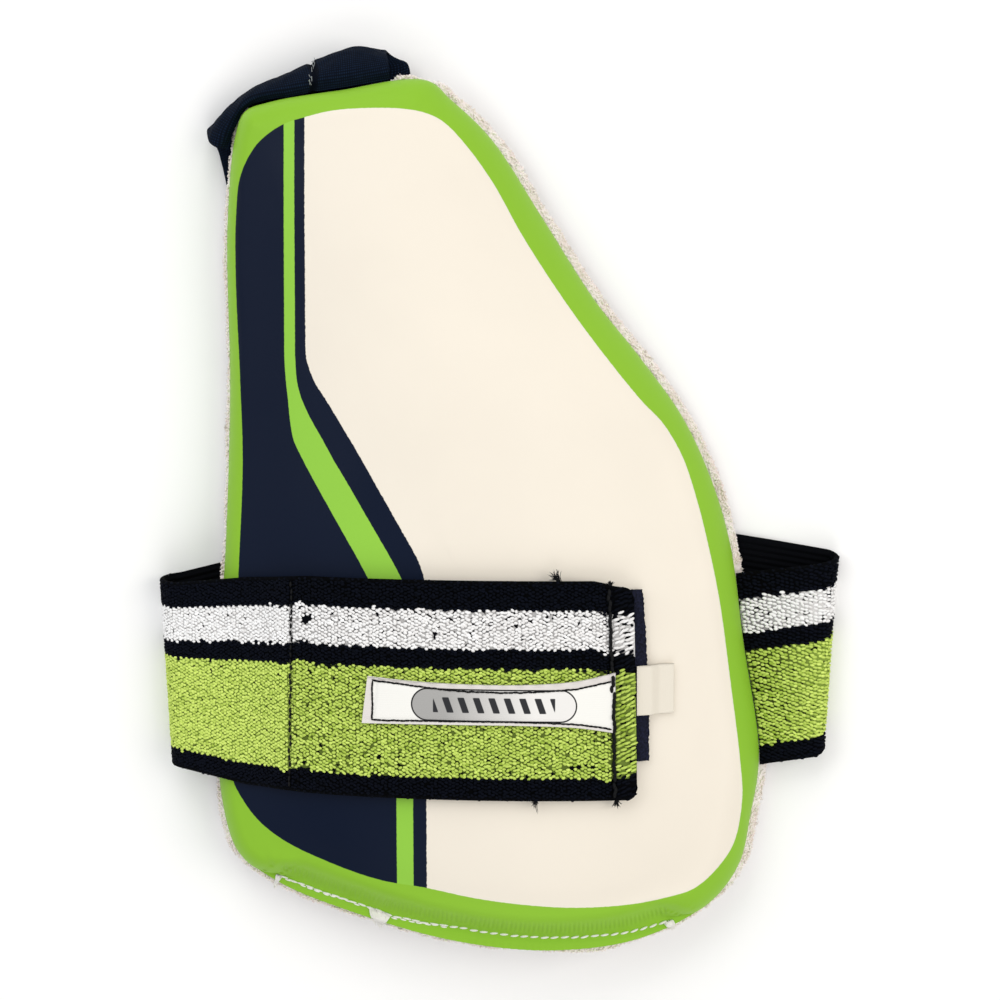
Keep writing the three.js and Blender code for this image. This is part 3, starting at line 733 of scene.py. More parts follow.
# Teased fibres at the rim: small tufts, each a few hairs from a short stretch of the edge that meet near one tip.
at = rng.integers(0, count, towel["tufts"])
at = at[flange[at] > 0.9]
level, upward = np.zeros(len(at)), [0, 0, 1]
outward = np.column_stack([rimNormal[at], level])
onward = np.column_stack([rimOnward[at], level])
foot = np.column_stack([rimBase[at] + rimNormal[at] * (flange[at, None] - 0.1), backAt(*rimBase[at].T) + 1.4])
tall = rng.uniform(0.4, 1.1, (len(at), 1))
tip = foot + outward * tall + onward * rng.normal(0, 0.6, (len(at), 1))
tip = tip + upward * rng.uniform(-0.6, 0.7, (len(at), 1))
hairs = (len(at), towel["hairs"])
start = foot[:, None] + onward[:, None] * rng.normal(0, 0.5, (*hairs, 1))
start = start + upward * rng.normal(0, 0.3, (*hairs, 1))
stop = tip[:, None] + rng.normal(0, 0.14, (*hairs, 3))
part = np.linspace(0, 1, towel["hairSteps"])[:, None]
paths = mix(start[:, :, None], stop[:, :, None], part)
paths = paths + rng.normal(0, 0.15, (*hairs, 1, 3)) * part * (1 - part) * 4
points, faces = threadTubes(paths.reshape(-1, towel["hairSteps"], 3), towel["hairRadius"], corners=3)
rimHairs = addPiece("towel_rim_fibres", points, faces, towelling)
print("towelling:", len(towelPoints), "points,", len(loopPlaces), "rim loops,", len(at), "tufts")

# Belt loop webbing: navy polyester woven in fine crosswise ribs, dull, each rib a row of small knots. The knots are
# painted lighter on their crests as a highlight, flecked at random, and the seam is painted darker as shade in its
# groove.
webbing, node, place = newMaterial("ribbed_polyester_webbing")
cloth = node("UVMap", uv_map="cloth")
waves = []
for axis, pitch in ((0, 0.8), (1, 0.9)):  # mm between ribs, and between the knots of a rib
    phase = node("Math", {0: node("SeparateXYZ", {0: cloth}, axis), 1: 2 * math.pi / pitch}, operation="MULTIPLY")
    wave = node("Math", {0: phase}, operation="SINE")
    waves.append(node("MapRange", {"Value": wave, "From Min": -1.0, "From Max": 1.0}))
knots = node("Math", {0: waves[0], 1: waves[1]}, operation="MULTIPLY")
fleck = node("TexNoise", {"Vector": place, "Scale": perCell(1.429), "Detail": 4.0})
# Painted highlight: the knots' crests lighter, flecked at random.
wearAndPaintedLight = node("Math", {0: knots, 1: fleck}, operation="MULTIPLY")
sewn = node("Attribute", out="Fac", attribute_name="sewn")
# The seam painted darker, as shade in its groove.
wearAndPaintedLight = node("Math", {0: wearAndPaintedLight, 1: sewn}, operation="SUBTRACT")
tint = node("ValToRGB", {"Fac": wearAndPaintedLight}, stops=((0.0, "#060B16"), (0.6, "#16263D")))
bump = node("Bump", {"Height": knots, "Strength": 0.4, "Distance": 0.2 * mm})
shadeWith(node, Base_Color=tint, Roughness=0.85, Specular_IOR_Level=0.06, Normal=bump)

# Belt loop: a C section from the cover's edge over the front, round the outer fold and back to the sewn line on the
# rear. Each row gives, from the left mouth to the right one, the pad's edge, the outer fold, where the rear layer
# passes behind the edge, its sewn line, and how far the front layer bows out of the mouth.
loop = dict(
    edge=[(-93.2, 120.6), (-91.2, 127), (-86, 135), (-70.5, 138.3), (-53, 141), (-37.4, 143.6)],
    fold=[(-101.7, 127.4), (-96.2, 133.1), (-87.3, 140.6), (-70.6, 148.0), (-49.4, 155.8), (-39.2, 154.5)],
    back=[(-98, 120.6), (-92.4, 126.8), (-86, 135.4), (-70.5, 138.9), (-51.5, 142), (-31.2, 150.6)],
    rear=[(-94.8, 106.8), (-88, 107.5), (-81, 108), (-66, 110), (-49, 112.5), (-29, 115)],
    bow=[2.2, 0.4, 0, 0, 0, -0.4],
    lift=3.2, follow=0.55, gutter=1.4, around=100, along=230, lumps=0.42, fineLumps=0.16, hem=1.3,
    seamX=-64.0, seamDepth=1.1, seamReach=0.9, slant=0.25,
)
edge, fold, back, rear = (np.array(loop[key], float) for key in ("edge", "fold", "back", "rear"))
outward = fold - edge
reach = np.linalg.norm(outward, axis=1, keepdims=True)
bowed = np.stack([-outward[:, 1], outward[:, 0]], axis=1) / reach * np.array(loop["bow"])[:, None]
rimTop = coverBase(*xy(edge)) + pad["edgeDepth"] * 0.6


# Height of the slack layers: half the wall, and a share of the arch over the rim.
def slackAt(p):
    return walls["loop"] / 2 + loop["follow"] * (backAt(*xy(p)) - rimHeight)


section = []
for share, lift in ((0, 0), (0.3, 0.7), (0.62, 0.8), (0.88, 0.55), (1, 0)):  # front layer, bulging over a straight run
    p = edge + outward * mix(loop["gutter"] / reach, 1, share) + bowed * math.sin(math.pi * share)
    section.append(np.column_stack([p, mix(rimTop, slackAt(p) + 3.4, share**2) + lift * loop["lift"]]))
for share, lift in ((0.07, 1.1), (0.2, 0.1), (0.5, 0), (0.9, 0)):  # under the fold
    p = mix(fold, back, share)
    section.append(np.column_stack([p, slackAt(p) + lift]))
for share, tight in ((0.3, 0), (0.6, 0.1), (0.85, 0.6), (1, 0.96)):  # rear layer, rising to the towelling
    p = mix(back, rear, share)
    rise = mix(slackAt(p), backAt(*xy(p)) - walls["seat"] - walls["loop"] / 2, tight)
    section.append(np.column_stack([p, rise]))
section = np.stack(section, axis=1)
hoops = curveThrough(section, np.linspace(0, section.shape[1] - 1, loop["around"] + 1))
loopGrid = curveThrough(hoops.transpose(1, 0, 2), np.linspace(0, len(edge) - 1, loop["along"] + 1))
loopGrid[..., 2] = np.maximum(loopGrid[..., 2], walls["loop"] / 2)
loopAlong, loopAround = (
    np.cumsum(np.linalg.norm(np.diff(loopGrid, axis=axis, prepend=np.take(loopGrid, [0], axis)), axis=2), axis=axis)
    for axis in (1, 0)
)
loopAlong = loopAlong.mean(axis=0, keepdims=True) + 0 * loopAround  # mm along the band, and mm round it
onFront = smooth(0.5, 0.36, np.linspace(0, 1, loop["around"] + 1))[:, None]
fromSeam = loopGrid[..., 0] - loop["seamX"] - 0.9 * np.sin(loopAround / 3.4)
seam = bell(fromSeam / loop["seamReach"]) * onFront
rolled = loopGrid[..., 1] + 2 * loopGrid[..., 2]
lumps = loop["lumps"] * ripple(loopGrid[..., 0], rolled, 19, 0.4)
lumps = lumps + loop["fineLumps"] * ripple(loopGrid[..., 0], rolled, 6.5, 2.0)
mouth = np.minimum(loopAlong, loopAlong.max() - loopAlong)
rounded = np.sqrt(1 - (1 - np.clip(mouth / loop["hem"], 0.04, 1)) ** 2)  # the mouths end in a rolled hem
skin = (walls["loop"] / 2 - 0.1) * rounded
outer = skin + (lumps - loop["seamDepth"] * seam) * rounded
loopPoints, loopFaces = wallFromGrid(loopGrid, skin - 0.05, outer)
ribs = np.stack([loopAlong + loop["slant"] * loopAround, loopAround], axis=-1).reshape(-1, 2)
loopPiece = addPiece(
    "belt_loop_band", loopPoints, loopFaces, webbing, "belt_loop",
    values=dict(sewn=doubled(seam)), uv=np.concatenate([ribs] * 2),
)
print("belt loop:", len(loopPoints), "points")

# Thigh strap: its places give x, y, width and lean (x per y) at its end on the face, where it leaves the pad's
# shoulder, at the folds and at the seam on the right edge.
strap = dict(
    leftRadius=7, leftTilt=23, rightRadius=4.6, rearBow=15.5, patchLeft=-70, endCorner=3.5, swell=2.2,
    end=(46, -63.6, 73, -0.02), leave=(-88, -61.8, 72.3, 0), left=(-110, -61.6, 65.6, -0.03),
    rearLeft=(-110, -59.6, 65.6, -0.1), rearRight=(111.8, -51.5, 65.6, 0.14), right=(111.8, -57, 68.4, 0),
    sewn=(88, -60.3, 68, -0.12),
    steps=dict(corner=8, over=61, shoulder=8, leftFold=25, under=40, rightFold=21, seam=12),
)


# Height of the strap's middle on the face: the highest face across its width, the patch under it, and half its depth.
def strapOver(x):
    x = np.asarray(x, float)
    part = (strap["end"][0] - x) / (strap["end"][0] - strap["leave"][0])
    y, width = (mix(strap["end"][k], strap["leave"][k], part) for k in (1, 2))
    across = np.array([-0.5, -0.25, 0, 0.25, 0.5])
    beside = x[..., None, None] + np.array([-1.0, 0, 1.0])[:, None] + 0 * across
    tall = faceAt(beside, y[..., None, None] + across * width[..., None, None] + 0 * beside).max(axis=-1)
    slope = (tall[..., 2] - tall[..., 0]) / 2
    lifted = (walls["patch"] + walls["seat"]) * smooth(strap["patchLeft"] - 14, strap["patchLeft"] - 3, x)
    return tall[..., 1] + lifted + (walls["seat"] + walls["strap"] / 2) * np.hypot(1, slope)


# Stations along the strap: x, y, z, width, lean, and how far it is on its way to the seam.
def strapStations():
    # From one named place to the next: y, width and lean blend straight, and the rest is given.
    def between(start, stop, part, x, z, bow=0.0, sewn=0.0):
        y, width, lean = (mix(strap[start][k], strap[stop][k], part) for k in (1, 2, 3))
        return np.column_stack([x, y + bow, z, width, lean, sewn + 0 * x])

    half, steps, corner = walls["strap"] / 2, strap["steps"], strap["endCorner"]
    overRun = strap["end"][0] - strap["leave"][0]
    turn = np.linspace(0, math.pi / 2, steps["corner"] + 1)[:-1]
    part = corner * (1 - np.cos(turn)) / overRun
    x = strap["end"][0] - part * overRun
    stations = [between("end", "leave", part, x, strapOver(x))]
    stations[0][:, 3] -= 2 * corner * (1 - np.sin(turn))
    part = mix(corner / overRun, 1, np.sin(np.linspace(0, 1, steps["over"]) * math.pi / 2))
    x = strap["end"][0] - part * overRun
    stations.append(between("end", "leave", part, x, strapOver(x)))
    swell = strap["swell"] * window((-92, -62), (42, 32), x)  # its upper edge swells on the face
    stations[-1][:, 1] += swell / 2
    stations[-1][:, 3] += swell
    begin = math.pi / 2 + math.radians(strap["leftTilt"])
    angle = np.linspace(begin, 1.5 * math.pi, steps["leftFold"])
    foldX = strap["left"][0] + strap["leftRadius"] * np.cos(angle)
    foldZ = half + strap["leftRadius"] * (1 + np.sin(angle))
    part = np.linspace(0, 1, steps["shoulder"] + 2)[1:-1]
    shoulder = stations[-1][-1]
    stations.append(between("leave", "left", part, mix(shoulder[0], foldX[0], part), mix(shoulder[2], foldZ[0], part)))
    stations.append(between("left", "rearLeft", np.linspace(0, 1, steps["leftFold"]), foldX, foldZ))
    part = np.linspace(0, 1, steps["under"] + 2)[1:-1]
    x = mix(strap["left"][0], strap["right"][0], part)
    stations.append(between("rearLeft", "rearRight", part, x, half + 0 * x, strap["rearBow"] * np.sin(math.pi * part)))
    part = np.linspace(0, 1, steps["rightFold"])
    x = strap["right"][0] + strap["rightRadius"] * np.sin(math.pi * part)
    stations.append(between("rearRight", "right", part, x, half + strap["rightRadius"] * (1 - np.cos(math.pi * part))))
    part = np.linspace(0, 1, steps["seam"] + 1)[1:]
    seamY = strap["sewn"][1] + np.array([-0.5, 0, 0.5]) * strap["sewn"][2]
    seamZ = backAt(strap["sewn"][0] - 1, seamY).max() + walls["towel"] + walls["seat"] + half
    z = mix(half + 2 * strap["rightRadius"], seamZ, smooth(0, 1, part))
    stations.append(between("right", "sewn", part, mix(strap["right"][0], strap["sewn"][0], part), z, sewn=part))
    return np.concatenate(stations)


stations = strapStations()
strapRun = walked(stations[:, :3])
rightSide = np.flatnonzero(fineNormal[:, 0] > 0.5)
rightSide = rightSide[np.argsort(fineEdge[rightSide, 1])]


# Width of the strap, read between its stations.
def strapWidth(run):
    return np.interp(run, strapRun, stations[:, 3])


# Point of the strap's middle surface at a run along it and a distance across from its centre line.
def strapPoint(run, across):
    x, y, z, width, lean, sewn = (np.interp(run, strapRun, stations[:, k]) for k in range(6))
    y = y + across
    seamX = np.interp(y, fineEdge[rightSide, 1], fineEdge[rightSide, 0]) + walls["seat"]
    x = np.where(sewn > 0, mix(strap["right"][0], seamX, sewn), x + lean * across)
    return np.stack([x, y, z], axis=-1)


# The same point with its directions along, across and out of the striped side, from small steps each way.
def strapFrame(run, across, step=0.3):
    run = np.clip(run, step, strapRun[-1] - step)
    along = unit(strapPoint(run + step, across) - strapPoint(run - step, across))
    side = unit(strapPoint(run, across + step) - strapPoint(run, across - step))
    return strapPoint(run, across), along, side, unit(np.cross(side, along))


frontCount = strap["steps"]["corner"] + strap["steps"]["over"]
foldStart = frontCount + strap["steps"]["shoulder"]
riseStart = foldStart + strap["steps"]["leftFold"] + strap["steps"]["under"]
leftFoldRun = strapRun[foldStart + 20]  # near the foot of the left fold
rightFoldRun = strapRun[riseStart + 4]  # just up the right fold
strapEndRun = strapRun[-1]


# Run along the strap where its front layer passes an x.
def runAtX(x):
    return np.interp(-np.asarray(x, float), -stations[:frontCount, 0], strapRun[:frontCount])


# Knit of the strap: shares of its width where the stripes change, the two sewn lines (x at the top and bottom edge,
# and reach) and their stitches, drags of the stripes beside them (x, reach, drag), the worn hole (x, share, reach both
# ways), and how the pile lies in each stretch: columns apart, rows across, half sizes of a strand, its lean, how far it
# strays, how many of the gaps show the black ground, the painted shade of the ground between strands (deep), how pale
# the strands are, partly painted light (the left stretch paler as if better lit), and how much paler they are painted
# toward the fold, away from the pad's shadow (glow). padShade is the pad's painted shadow on the right stretch.
knit = dict(
    stripes=(0.131, 0.308, 0.398, 0.896), lift=0.5, seams=((-70.6, -72.2, 0.9), (37.4, 38.4, 1.3)), seamDepth=0.8,
    shifts=((35.4, 2.4, 1.5), (42, 3, -0.7), (-67.5, 3, -1.1), (-74, 2.5, 0.7)),
    hole=(-65.8, 0.197, 1.75, 1.45), dropped=0.07, padShade=0.68, whitePower=0.5, wornRows=(0.16, 0.86), wornReach=0.03,
    stitches=(dict(pitch=2.4, length=2.1, width=0.85, loose=0.16), dict(pitch=1.9, length=2.8, width=1.3, loose=0.2)),
    stretches=dict(
        hem=dict(
            pitch=1.6, rows=45, strand=(1.3, 0.55, 0.42), lean=-0.42, stray=0.15, open=0.5, deep=0.4, pale=0.42, glow=0,
        ),
        middle=dict(
            pitch=1.2, rows=61, strand=(0.8, 0.57, 0.42), lean=0.1, stray=0.4, open=0.45, deep=0.3, pale=0.58, glow=0,
        ),
        left=dict(
            pitch=1.08, rows=60, strand=(0.73, 0.59, 0.34), lean=0, stray=0.25, open=0, deep=0.62, pale=0.82, glow=0,
        ),
        right=dict(
            pitch=1.42, rows=52, strand=(0.92, 0.57, 0.4), lean=0.3, stray=0.2, open=0.12, deep=0.75, pale=0.36,
            glow=0.35,
        ),
    ),
)
leftSeamRun, rightSeamRun = (runAtX(high) for high, low, reach in knit["seams"])
stretchEnds = dict(
    hem=(0.5, rightSeamRun), middle=(rightSeamRun, leftSeamRun), left=(leftSeamRun, leftFoldRun),
    right=(rightFoldRun, strapEndRun - 0.2),
)


# How far the two sewn lines pull the knit down: a narrow dip about each line, which leans from top to bottom edge.
def seamPull(run, share):
    dips = [bell((run - runAtX(mix(high, low, share))) / reach) for high, low, reach in knit["seams"]]
    return np.maximum(*dips)


# How far the stripes are dragged down beside the sewn lines, in mm.
def stripeDrag(run):
    return sum(drag * bell((run - runAtX(x)) / reach) for x, reach, drag in knit["shifts"])


# How near a place of the right stretch is to the pad: 0 at the fold, 1 where the strap is sewn to the pad's edge.
def nearPad(run):
    return smooth(rightFoldRun + 6, strapEndRun - 3, run)


# A number of the stretches read along the strap, each stretch's less the rest, fading over 2 mm at its ends.
def alongStretches(key, rest, run):
    return sum(
        (knit["stretches"][name][key] - rest) * window((begin - 1, begin + 1), (stop + 1, stop - 1), run)
        for name, (begin, stop) in stretchEnds.items()
    )


# Distance from the worn hole's middle, 1 at its rim.
def fromHole(run, share):
    x, middle, reachX, reachY = knit["hole"]
    return np.hypot((run - runAtX(x)) / reachX, (share - middle) * strapWidth(run) / reachY)


# Painted shade of the ground between the strands, as a share of its dye: each stretch's own, and darker toward the
# pad's right edge as the pad's painted shadow. The white stripe is taken to let more light through, so its painted
# shade
# is lighter: its tone is raised by a power.
def strandShadeAt(run, share):
    tone = 1 - knit["padShade"] * nearPad(run) + alongStretches("deep", 1, run)
    white = (share > knit["stripes"][0]) & (share < knit["stripes"][1])
    return np.clip(tone, 0.02, 1) ** np.where(white, knit["whitePower"], 1)


# Share of gaps that show black: each stretch's own, more along the top of the white stripe and the foot of the green
# one, and all of them in the worn hole.
def openAt(run, share):
    wearAndPaintedLight = sum(bell((share - row) / knit["wornReach"]) for row in knit["wornRows"])
    return alongStretches("open", 0, run) * (0.6 + wearAndPaintedLight) + 4 * smooth(1.3, 0.6, fromHole(run, share))


# Strap ground: black knitted elastic, ribbed lengthwise inside. Outside it is dyed in the stripes: plain where it
# lies on the floor, painted darker between the pile strands as shade, and black in the open gaps.
ground, node, place = newMaterial("knitted_elastic_ground")
share, opened, piled, deep, shown, across = (
    node("Attribute", out="Fac", attribute_name=key) for key in ("share", "open", "piled", "deep", "shown", "across")
)
bands = zip((0.0, *knit["stripes"]), ("#04060B", "#EDEBEA", "#04060B", "#A4BE55", "#04060B"))
stripes = node("ValToRGB", {"Fac": share}, stops=bands)
stripes.node.color_ramp.interpolation = "CONSTANT"
gaps = node("TexNoise", {"Vector": place, "Scale": perCell(2.083), "Detail": 1.0})
gaps = node("Math", {0: opened, 1: 0.16, 2: gaps}, operation="MULTIPLY_ADD")
gaps = node("MapRange", {"Value": gaps, "From Min": 0.62, "From Max": 0.66}, interpolation_type="SMOOTHSTEP")
# Painted shade between the strands: the stripe's dye times the tone in deep.
dyedAndShaded = node("VectorMath", {0: stripes, 1: deep}, operation="MULTIPLY")
black = node("Math", {0: gaps, 1: piled}, operation="MULTIPLY")
dyedAndShaded = node("Mix", {mixShare: black, mixFrom: dyedAndShaded, mixTo: colour("#04050A")}, mixOut, data_type="RGBA")
base = node("Mix", {mixShare: shown, mixFrom: colour("#05060A"), mixTo: dyedAndShaded}, mixOut, data_type="RGBA")
ribbed = node("Math", {0: across, 1: 2 * math.pi / 2.1}, operation="MULTIPLY")  # ribs 2.1 mm apart
ribbed = node("Math", {0: ribbed}, operation="SINE")
knots = node("TexVoronoi", {"Vector": place, "Scale": perCell(1.786)})
height = node("Mix", {0: shown, 2: ribbed, 3: knots}, data_type="FLOAT")
bump = node("Bump", {"Height": height, "Strength": 0.7, "Distance": 0.4 * mm})
shadeWith(node, Base_Color=base, Roughness=0.9, Specular_IOR_Level=0.06, Normal=bump)

# Wall of the ground: finer across at the two selvedges, which stand up to the pile and are rounded.
groundWall = dict(
    along=460, across=33, selvedge=(0, 0.0015, 0.004, 0.008, 0.013, 0.02, 0.03), low=0.2, high=1.08, inner=1.12,
    seamDepth=0.5,
)
selvedge = np.array(groundWall["selvedge"])
shares = np.concatenate([selvedge, np.linspace(0.05, 0.95, groundWall["across"]), 1 - selvedge[::-1]])
run, share = np.meshgrid(np.linspace(0, strapEndRun, groundWall["along"]), shares, indexing="ij")
across = (0.5 - share) * strapWidth(run)
under = window((leftFoldRun - 4, leftFoldRun + 2), (rightFoldRun + 2, rightFoldRun - 4), run)
fromEdge = np.minimum(share, 1 - share) * strapWidth(run)
rounded = np.sqrt(1 - (1 - np.clip(fromEdge, 0.03, 1)) ** 2)
raised = np.maximum(under, 0.7 * smooth(1.8, 0.9, fromEdge))
outer = mix(groundWall["low"], groundWall["high"], raised) * rounded
outer = outer - groundWall["seamDepth"] * seamPull(run, share) * (1 - raised)
inner = groundWall["inner"] * rounded
strapPoints, strapFaces = wallFromGrid(strapPoint(run, across)[:, ::-1], inner[:, ::-1], outer[:, ::-1])


# Values of the ground's grid for its inner and then its outer side.
def bothSides(inside, outside):
    return np.concatenate([inside[:, ::-1].ravel(), outside[:, ::-1].ravel()])


strapPiece = addPiece(
    "strap_ground", strapPoints, strapFaces, ground, "thigh_strap",
    values=dict(
        share=bothSides(share, share), across=bothSides(across, across), shown=bothSides(0 * run, 0 * run + 1),
        piled=bothSides(1 - under, 1 - under), open=bothSides(0 * run, openAt(run, share)),
        deep=bothSides(0 * run + 1, mix(strandShadeAt(run, share), 1, under)),
    ),
)

# Pile yarns: soft spun polyester, dull, one tone per strand: random, and partly painted light.
yarns = dict(navy=("#02040A", "#080C18"), white=("#E9E7E6", "#FFFFFF"), green=("#97B23F", "#D9EE7A"))
yarnSkins = {}
for name, (dark, pale) in yarns.items():
    yarnSkins[name], node, place = newMaterial(f"{name}_pile_yarn")
    strand = node("Attribute", out="Fac", attribute_name="tone")
    dyedAndShaded = node("Mix", {mixShare: strand, mixFrom: colour(dark), mixTo: colour(pale)}, mixOut, data_type="RGBA")
    fibre = node("TexNoise", {"Vector": place, "Scale": perCell(0.3846), "Detail": 2.0})  # fibres, as coarse as shows
    bump = node("Bump", {"Height": fibre, "Strength": 0.4, "Distance": 0.2 * mm})
    shadeWith(node, Base_Color=dyedAndShaded, Roughness=0.85, Specular_IOR_Level=0.08, Normal=bump)


# Pile of one stretch: columns of knots, every other column half a row lower, each knot one strand that strays from
# the stretch's lean. At a stripe's edge the lower columns reach further. Some strands of open stretches are missing.
def pileOf(name):
    lies = knit["stretches"][name]
    begin, stop = stretchEnds[name]
    number = round((stop - begin) / lies["pitch"])
    columns = mix(begin, stop, (np.arange(number) + 0.5) / number)
    column, row = (a.ravel() for a in np.meshgrid(np.arange(len(columns)), np.arange(lies["rows"]), indexing="ij"))
    count, lower, oneRow = len(column), column % 2, 1 / lies["rows"]
    share = mix(0.004, 0.996, (row + 0.25 + 0.5 * lower) * oneRow) + rng.normal(0, 0.12 * oneRow, count)
    run = columns[column] + rng.normal(0, 0.12 * lies["pitch"], count)
    uneven = np.clip(rng.normal(0, 0.25, len(columns)), -0.4, 0.4)[column] * oneRow - 0.35 * oneRow * lower
    stripe = np.digitize(share + uneven - stripeDrag(run) / strapWidth(run), knit["stripes"])
    lean = rng.normal(lies["lean"], lies["stray"], count)
    size = np.array(lies["strand"]) * rng.normal(1, 0.09, (count, 3))
    # Tone of a strand: random about the stretch's paleness, which is partly painted light, and painted paler away from
    # the pad's shadow.
    tone = np.clip(rng.normal(lies["pale"], 0.2, count) + lies["glow"] * (1 - nearPad(run)), 0, 1)
    kept = rng.random(count) > knit["dropped"] * openAt(run, share)
    return np.column_stack([run, share, stripe, lean, tone, size])[kept]


pile = np.concatenate([pileOf(name) for name in knit["stretches"]])
pile = pile[fromHole(pile[:, 0], pile[:, 1]) > 1]
run, share, stripe, lean, tone = pile[:, :5].T
pull = seamPull(run, share)
spot, along, side, out = strapFrame(run, (0.5 - share) * strapWidth(run))
spot = spot + out * (knit["lift"] - knit["seamDepth"] * pull + rng.normal(0, 0.07, len(run)))[:, None]
aim = along * np.cos(lean)[:, None] + side * np.sin(lean)[:, None] + out * rng.normal(0, 0.1, len(run))[:, None]
sizes = pile[:, 5:] * (1 - 0.3 * pull)[:, None]
bean = beanShape(5, 3, 0.35)
for name, groups in (("navy", (0, 2, 4)), ("white", (1,)), ("green", (3,))):
    chosen = np.isin(stripe, groups)
    points, faces = scatterBeans(spot[chosen], aim[chosen], out[chosen], sizes[chosen], bean)[:2]
    shades = dict(tone=np.repeat(tone[chosen], len(bean[0])))
    addPiece(f"strap_pile_{name}", points, faces, yarnSkins[name], values=shades)
print("strap:", len(run), "pile strands")

# Hook-and-loop tape: navy brushed nylon, flat and matt with a short nap.
tapeNap, node, place = newMaterial("brushed_nylon_tape")
nap = node("TexNoise", {"Vector": place, "Scale": perCell(0.6667), "Detail": 4.0})
tint = node("ValToRGB", {"Fac": nap}, stops=((0.35, "#0C0E1A"), (0.7, "#20233A")))
bump = node("Bump", {"Height": nap, "Strength": 0.7, "Distance": 0.4 * mm})
shadeWith(
    node, Base_Color=tint, Roughness=0.95, Specular_IOR_Level=0.1, Sheen_Weight=0.15, Sheen_Roughness=0.5, Normal=bump,
)

# Fastener patch: a thin plate that follows the face, its right edge slanted and slightly frayed.
patch = dict(left=-70, right=50.2, low=-87.2, high=-28.5, fray=0.22, slant=(0.6, -1.9), slantFrom=15)
along, across = np.linspace(patch["left"], patch["right"], 150), np.linspace(patch["low"], patch["high"], 74)
x, y = np.meshgrid(along, across, indexing="ij")
edgeRight = smooth(patch["right"] - 3, patch["right"], x)
upShare = (y - patch["low"]) / (patch["high"] - patch["low"])
slanted = smooth(patch["slantFrom"], patch["right"], x) * mix(*patch["slant"], upShare**2)
edgeShape = x + slanted + edgeRight * patch["fray"] * (ripple(y, 3 * y, 5.3) + rng.normal(0, 0.5, x.shape))
rise = faceAt(edgeShape, y) + walls["seat"] + walls["patch"] / 2 + rng.uniform(-0.07, 0.07, x.shape)
patchGrid = np.stack([edgeShape, y, rise], axis=-1)
patchPoints, patchFaces = wallFromGrid(patchGrid, walls["patch"] / 2 - 0.05, walls["patch"] / 2 - 0.05)
patchPiece = addPiece("hook_patch", patchPoints, patchFaces, tapeNap, "fastener_patch")

# Woven label satin: white, faintly ribbed, with a black line round a grey capsule and slanted bars in it. Outside its
# sewn lines it is painted greyer, as shade on its lifted edges. Each attribute is a distance inside an outline, in mm,
# apart from along.
satin, node, place = newMaterial("woven_label_satin")
inCapsule, inBars, sewnIn, alongLabel = (
    node("Attribute", out="Fac", attribute_name=key) for key in ("capsule", "bars", "sewnIn", "along")
)
fromRim = node("Math", {0: inCapsule}, operation="ABSOLUTE")
hem, fill, bar, rim = (
    node("MapRange", {"Value": value, "From Min": low, "From Max": high}, interpolation_type="SMOOTHSTEP")
    for value, low, high in ((sewnIn, -0.3, 0.3), (inCapsule, -0.1, 0.1), (inBars, -0.12, 0.12), (fromRim, 0.32, 0.18))
)
grey = node("ValToRGB", {"Fac": alongLabel}, stops=((0.2, "#A9A8A6"), (0.75, "#EDEBE8")))
# Outside the sewn lines: painted shade on the lifted edges; inside them (hem share) the satin's white.
face = colour("#E3DEDA")
for shape, dye in ((hem, colour("#F4F3EE")), (fill, grey), (bar, colour("#26272B")), (rim, colour("#0C0D10"))):
    face = node("Mix", {mixShare: shape, mixFrom: face, mixTo: dye}, mixOut, data_type="RGBA")
weave = node("TexWave", {"Vector": place, "Scale": perRib(0.748), "Distortion": 1.0}, 1, bands_direction="Y")
bump = node("Bump", {"Height": weave, "Strength": 0.15, "Distance": 0.1 * mm})
shadeWith(node, Base_Color=face, Roughness=0.55, Specular_IOR_Level=0.3, Normal=bump)

# Label: a thin plate drawn in at its middle, sewn down along its inset lines, so its edges lift a little outside them.
label = dict(
    x=(-46.8, -20, 8, 26, 39), low=(-73, -73, -73.4, -74.4, -76.5), high=(-57, -58.8, -59.4, -58.4, -55.8),
    slant=2.0, depth=0.22, lift=0.3, endLine=-43.2, sewnReach=0.9, pucker=0.2, lowInset=1.2, topInset=(1.0, 2.6),
    capsule=dict(left=-29.8, right=25.8, low=-71.8, high=-61.1, slant=-0.018),
    bars=dict(step=5.2, lean=0.35, half=1.15, tall=2.6, reach=20.6),
    stitch=dict(pitch=1.6, length=2.6, width=0.7, loose=0.06),
)


# The label's low or high edge over x: a curve through its points.
def labelEdge(key, x):
    rows = curveThrough(np.column_stack([label["x"], label[key]]), np.linspace(0, len(label["x"]) - 1, 200))
    return np.interp(x, rows[:, 0], rows[:, 1])


# Distance of the sewn lines from the label's top and low edges.
def labelInset(x):
    return mix(*label["topInset"], smooth(-46, -5, x)), label["lowInset"] + 0 * x


# Height of the label over the strap: half way up its seat, dipping at the sewn lines, raised at the free edges and
# the middle.
def labelHeight(x, y):
    low, high = labelEdge("low", x), labelEdge("high", x)
    topInset, lowInset = labelInset(x)
    topLine, lowLine, endLine = (
        bell(away / label["sewnReach"]) for away in (y - high + topInset, y - low - lowInset, x - label["endLine"])
    )
    sewn = np.maximum(topLine + lowLine, endLine)
    free = smooth(topInset * 0.5, 0, high - y)
    pucker = label["pucker"] * np.sin(x * 1.05 + 0.8 * np.sin(x / 7)) * free
    base = strapOver(x) if x.ndim == 1 else strapOver(x[:, 0])[:, None]
    return base + walls["strap"] / 2 + walls["seat"] + walls["label"] / 2 + label["lift"] * (free - sewn * 0.9) + pucker


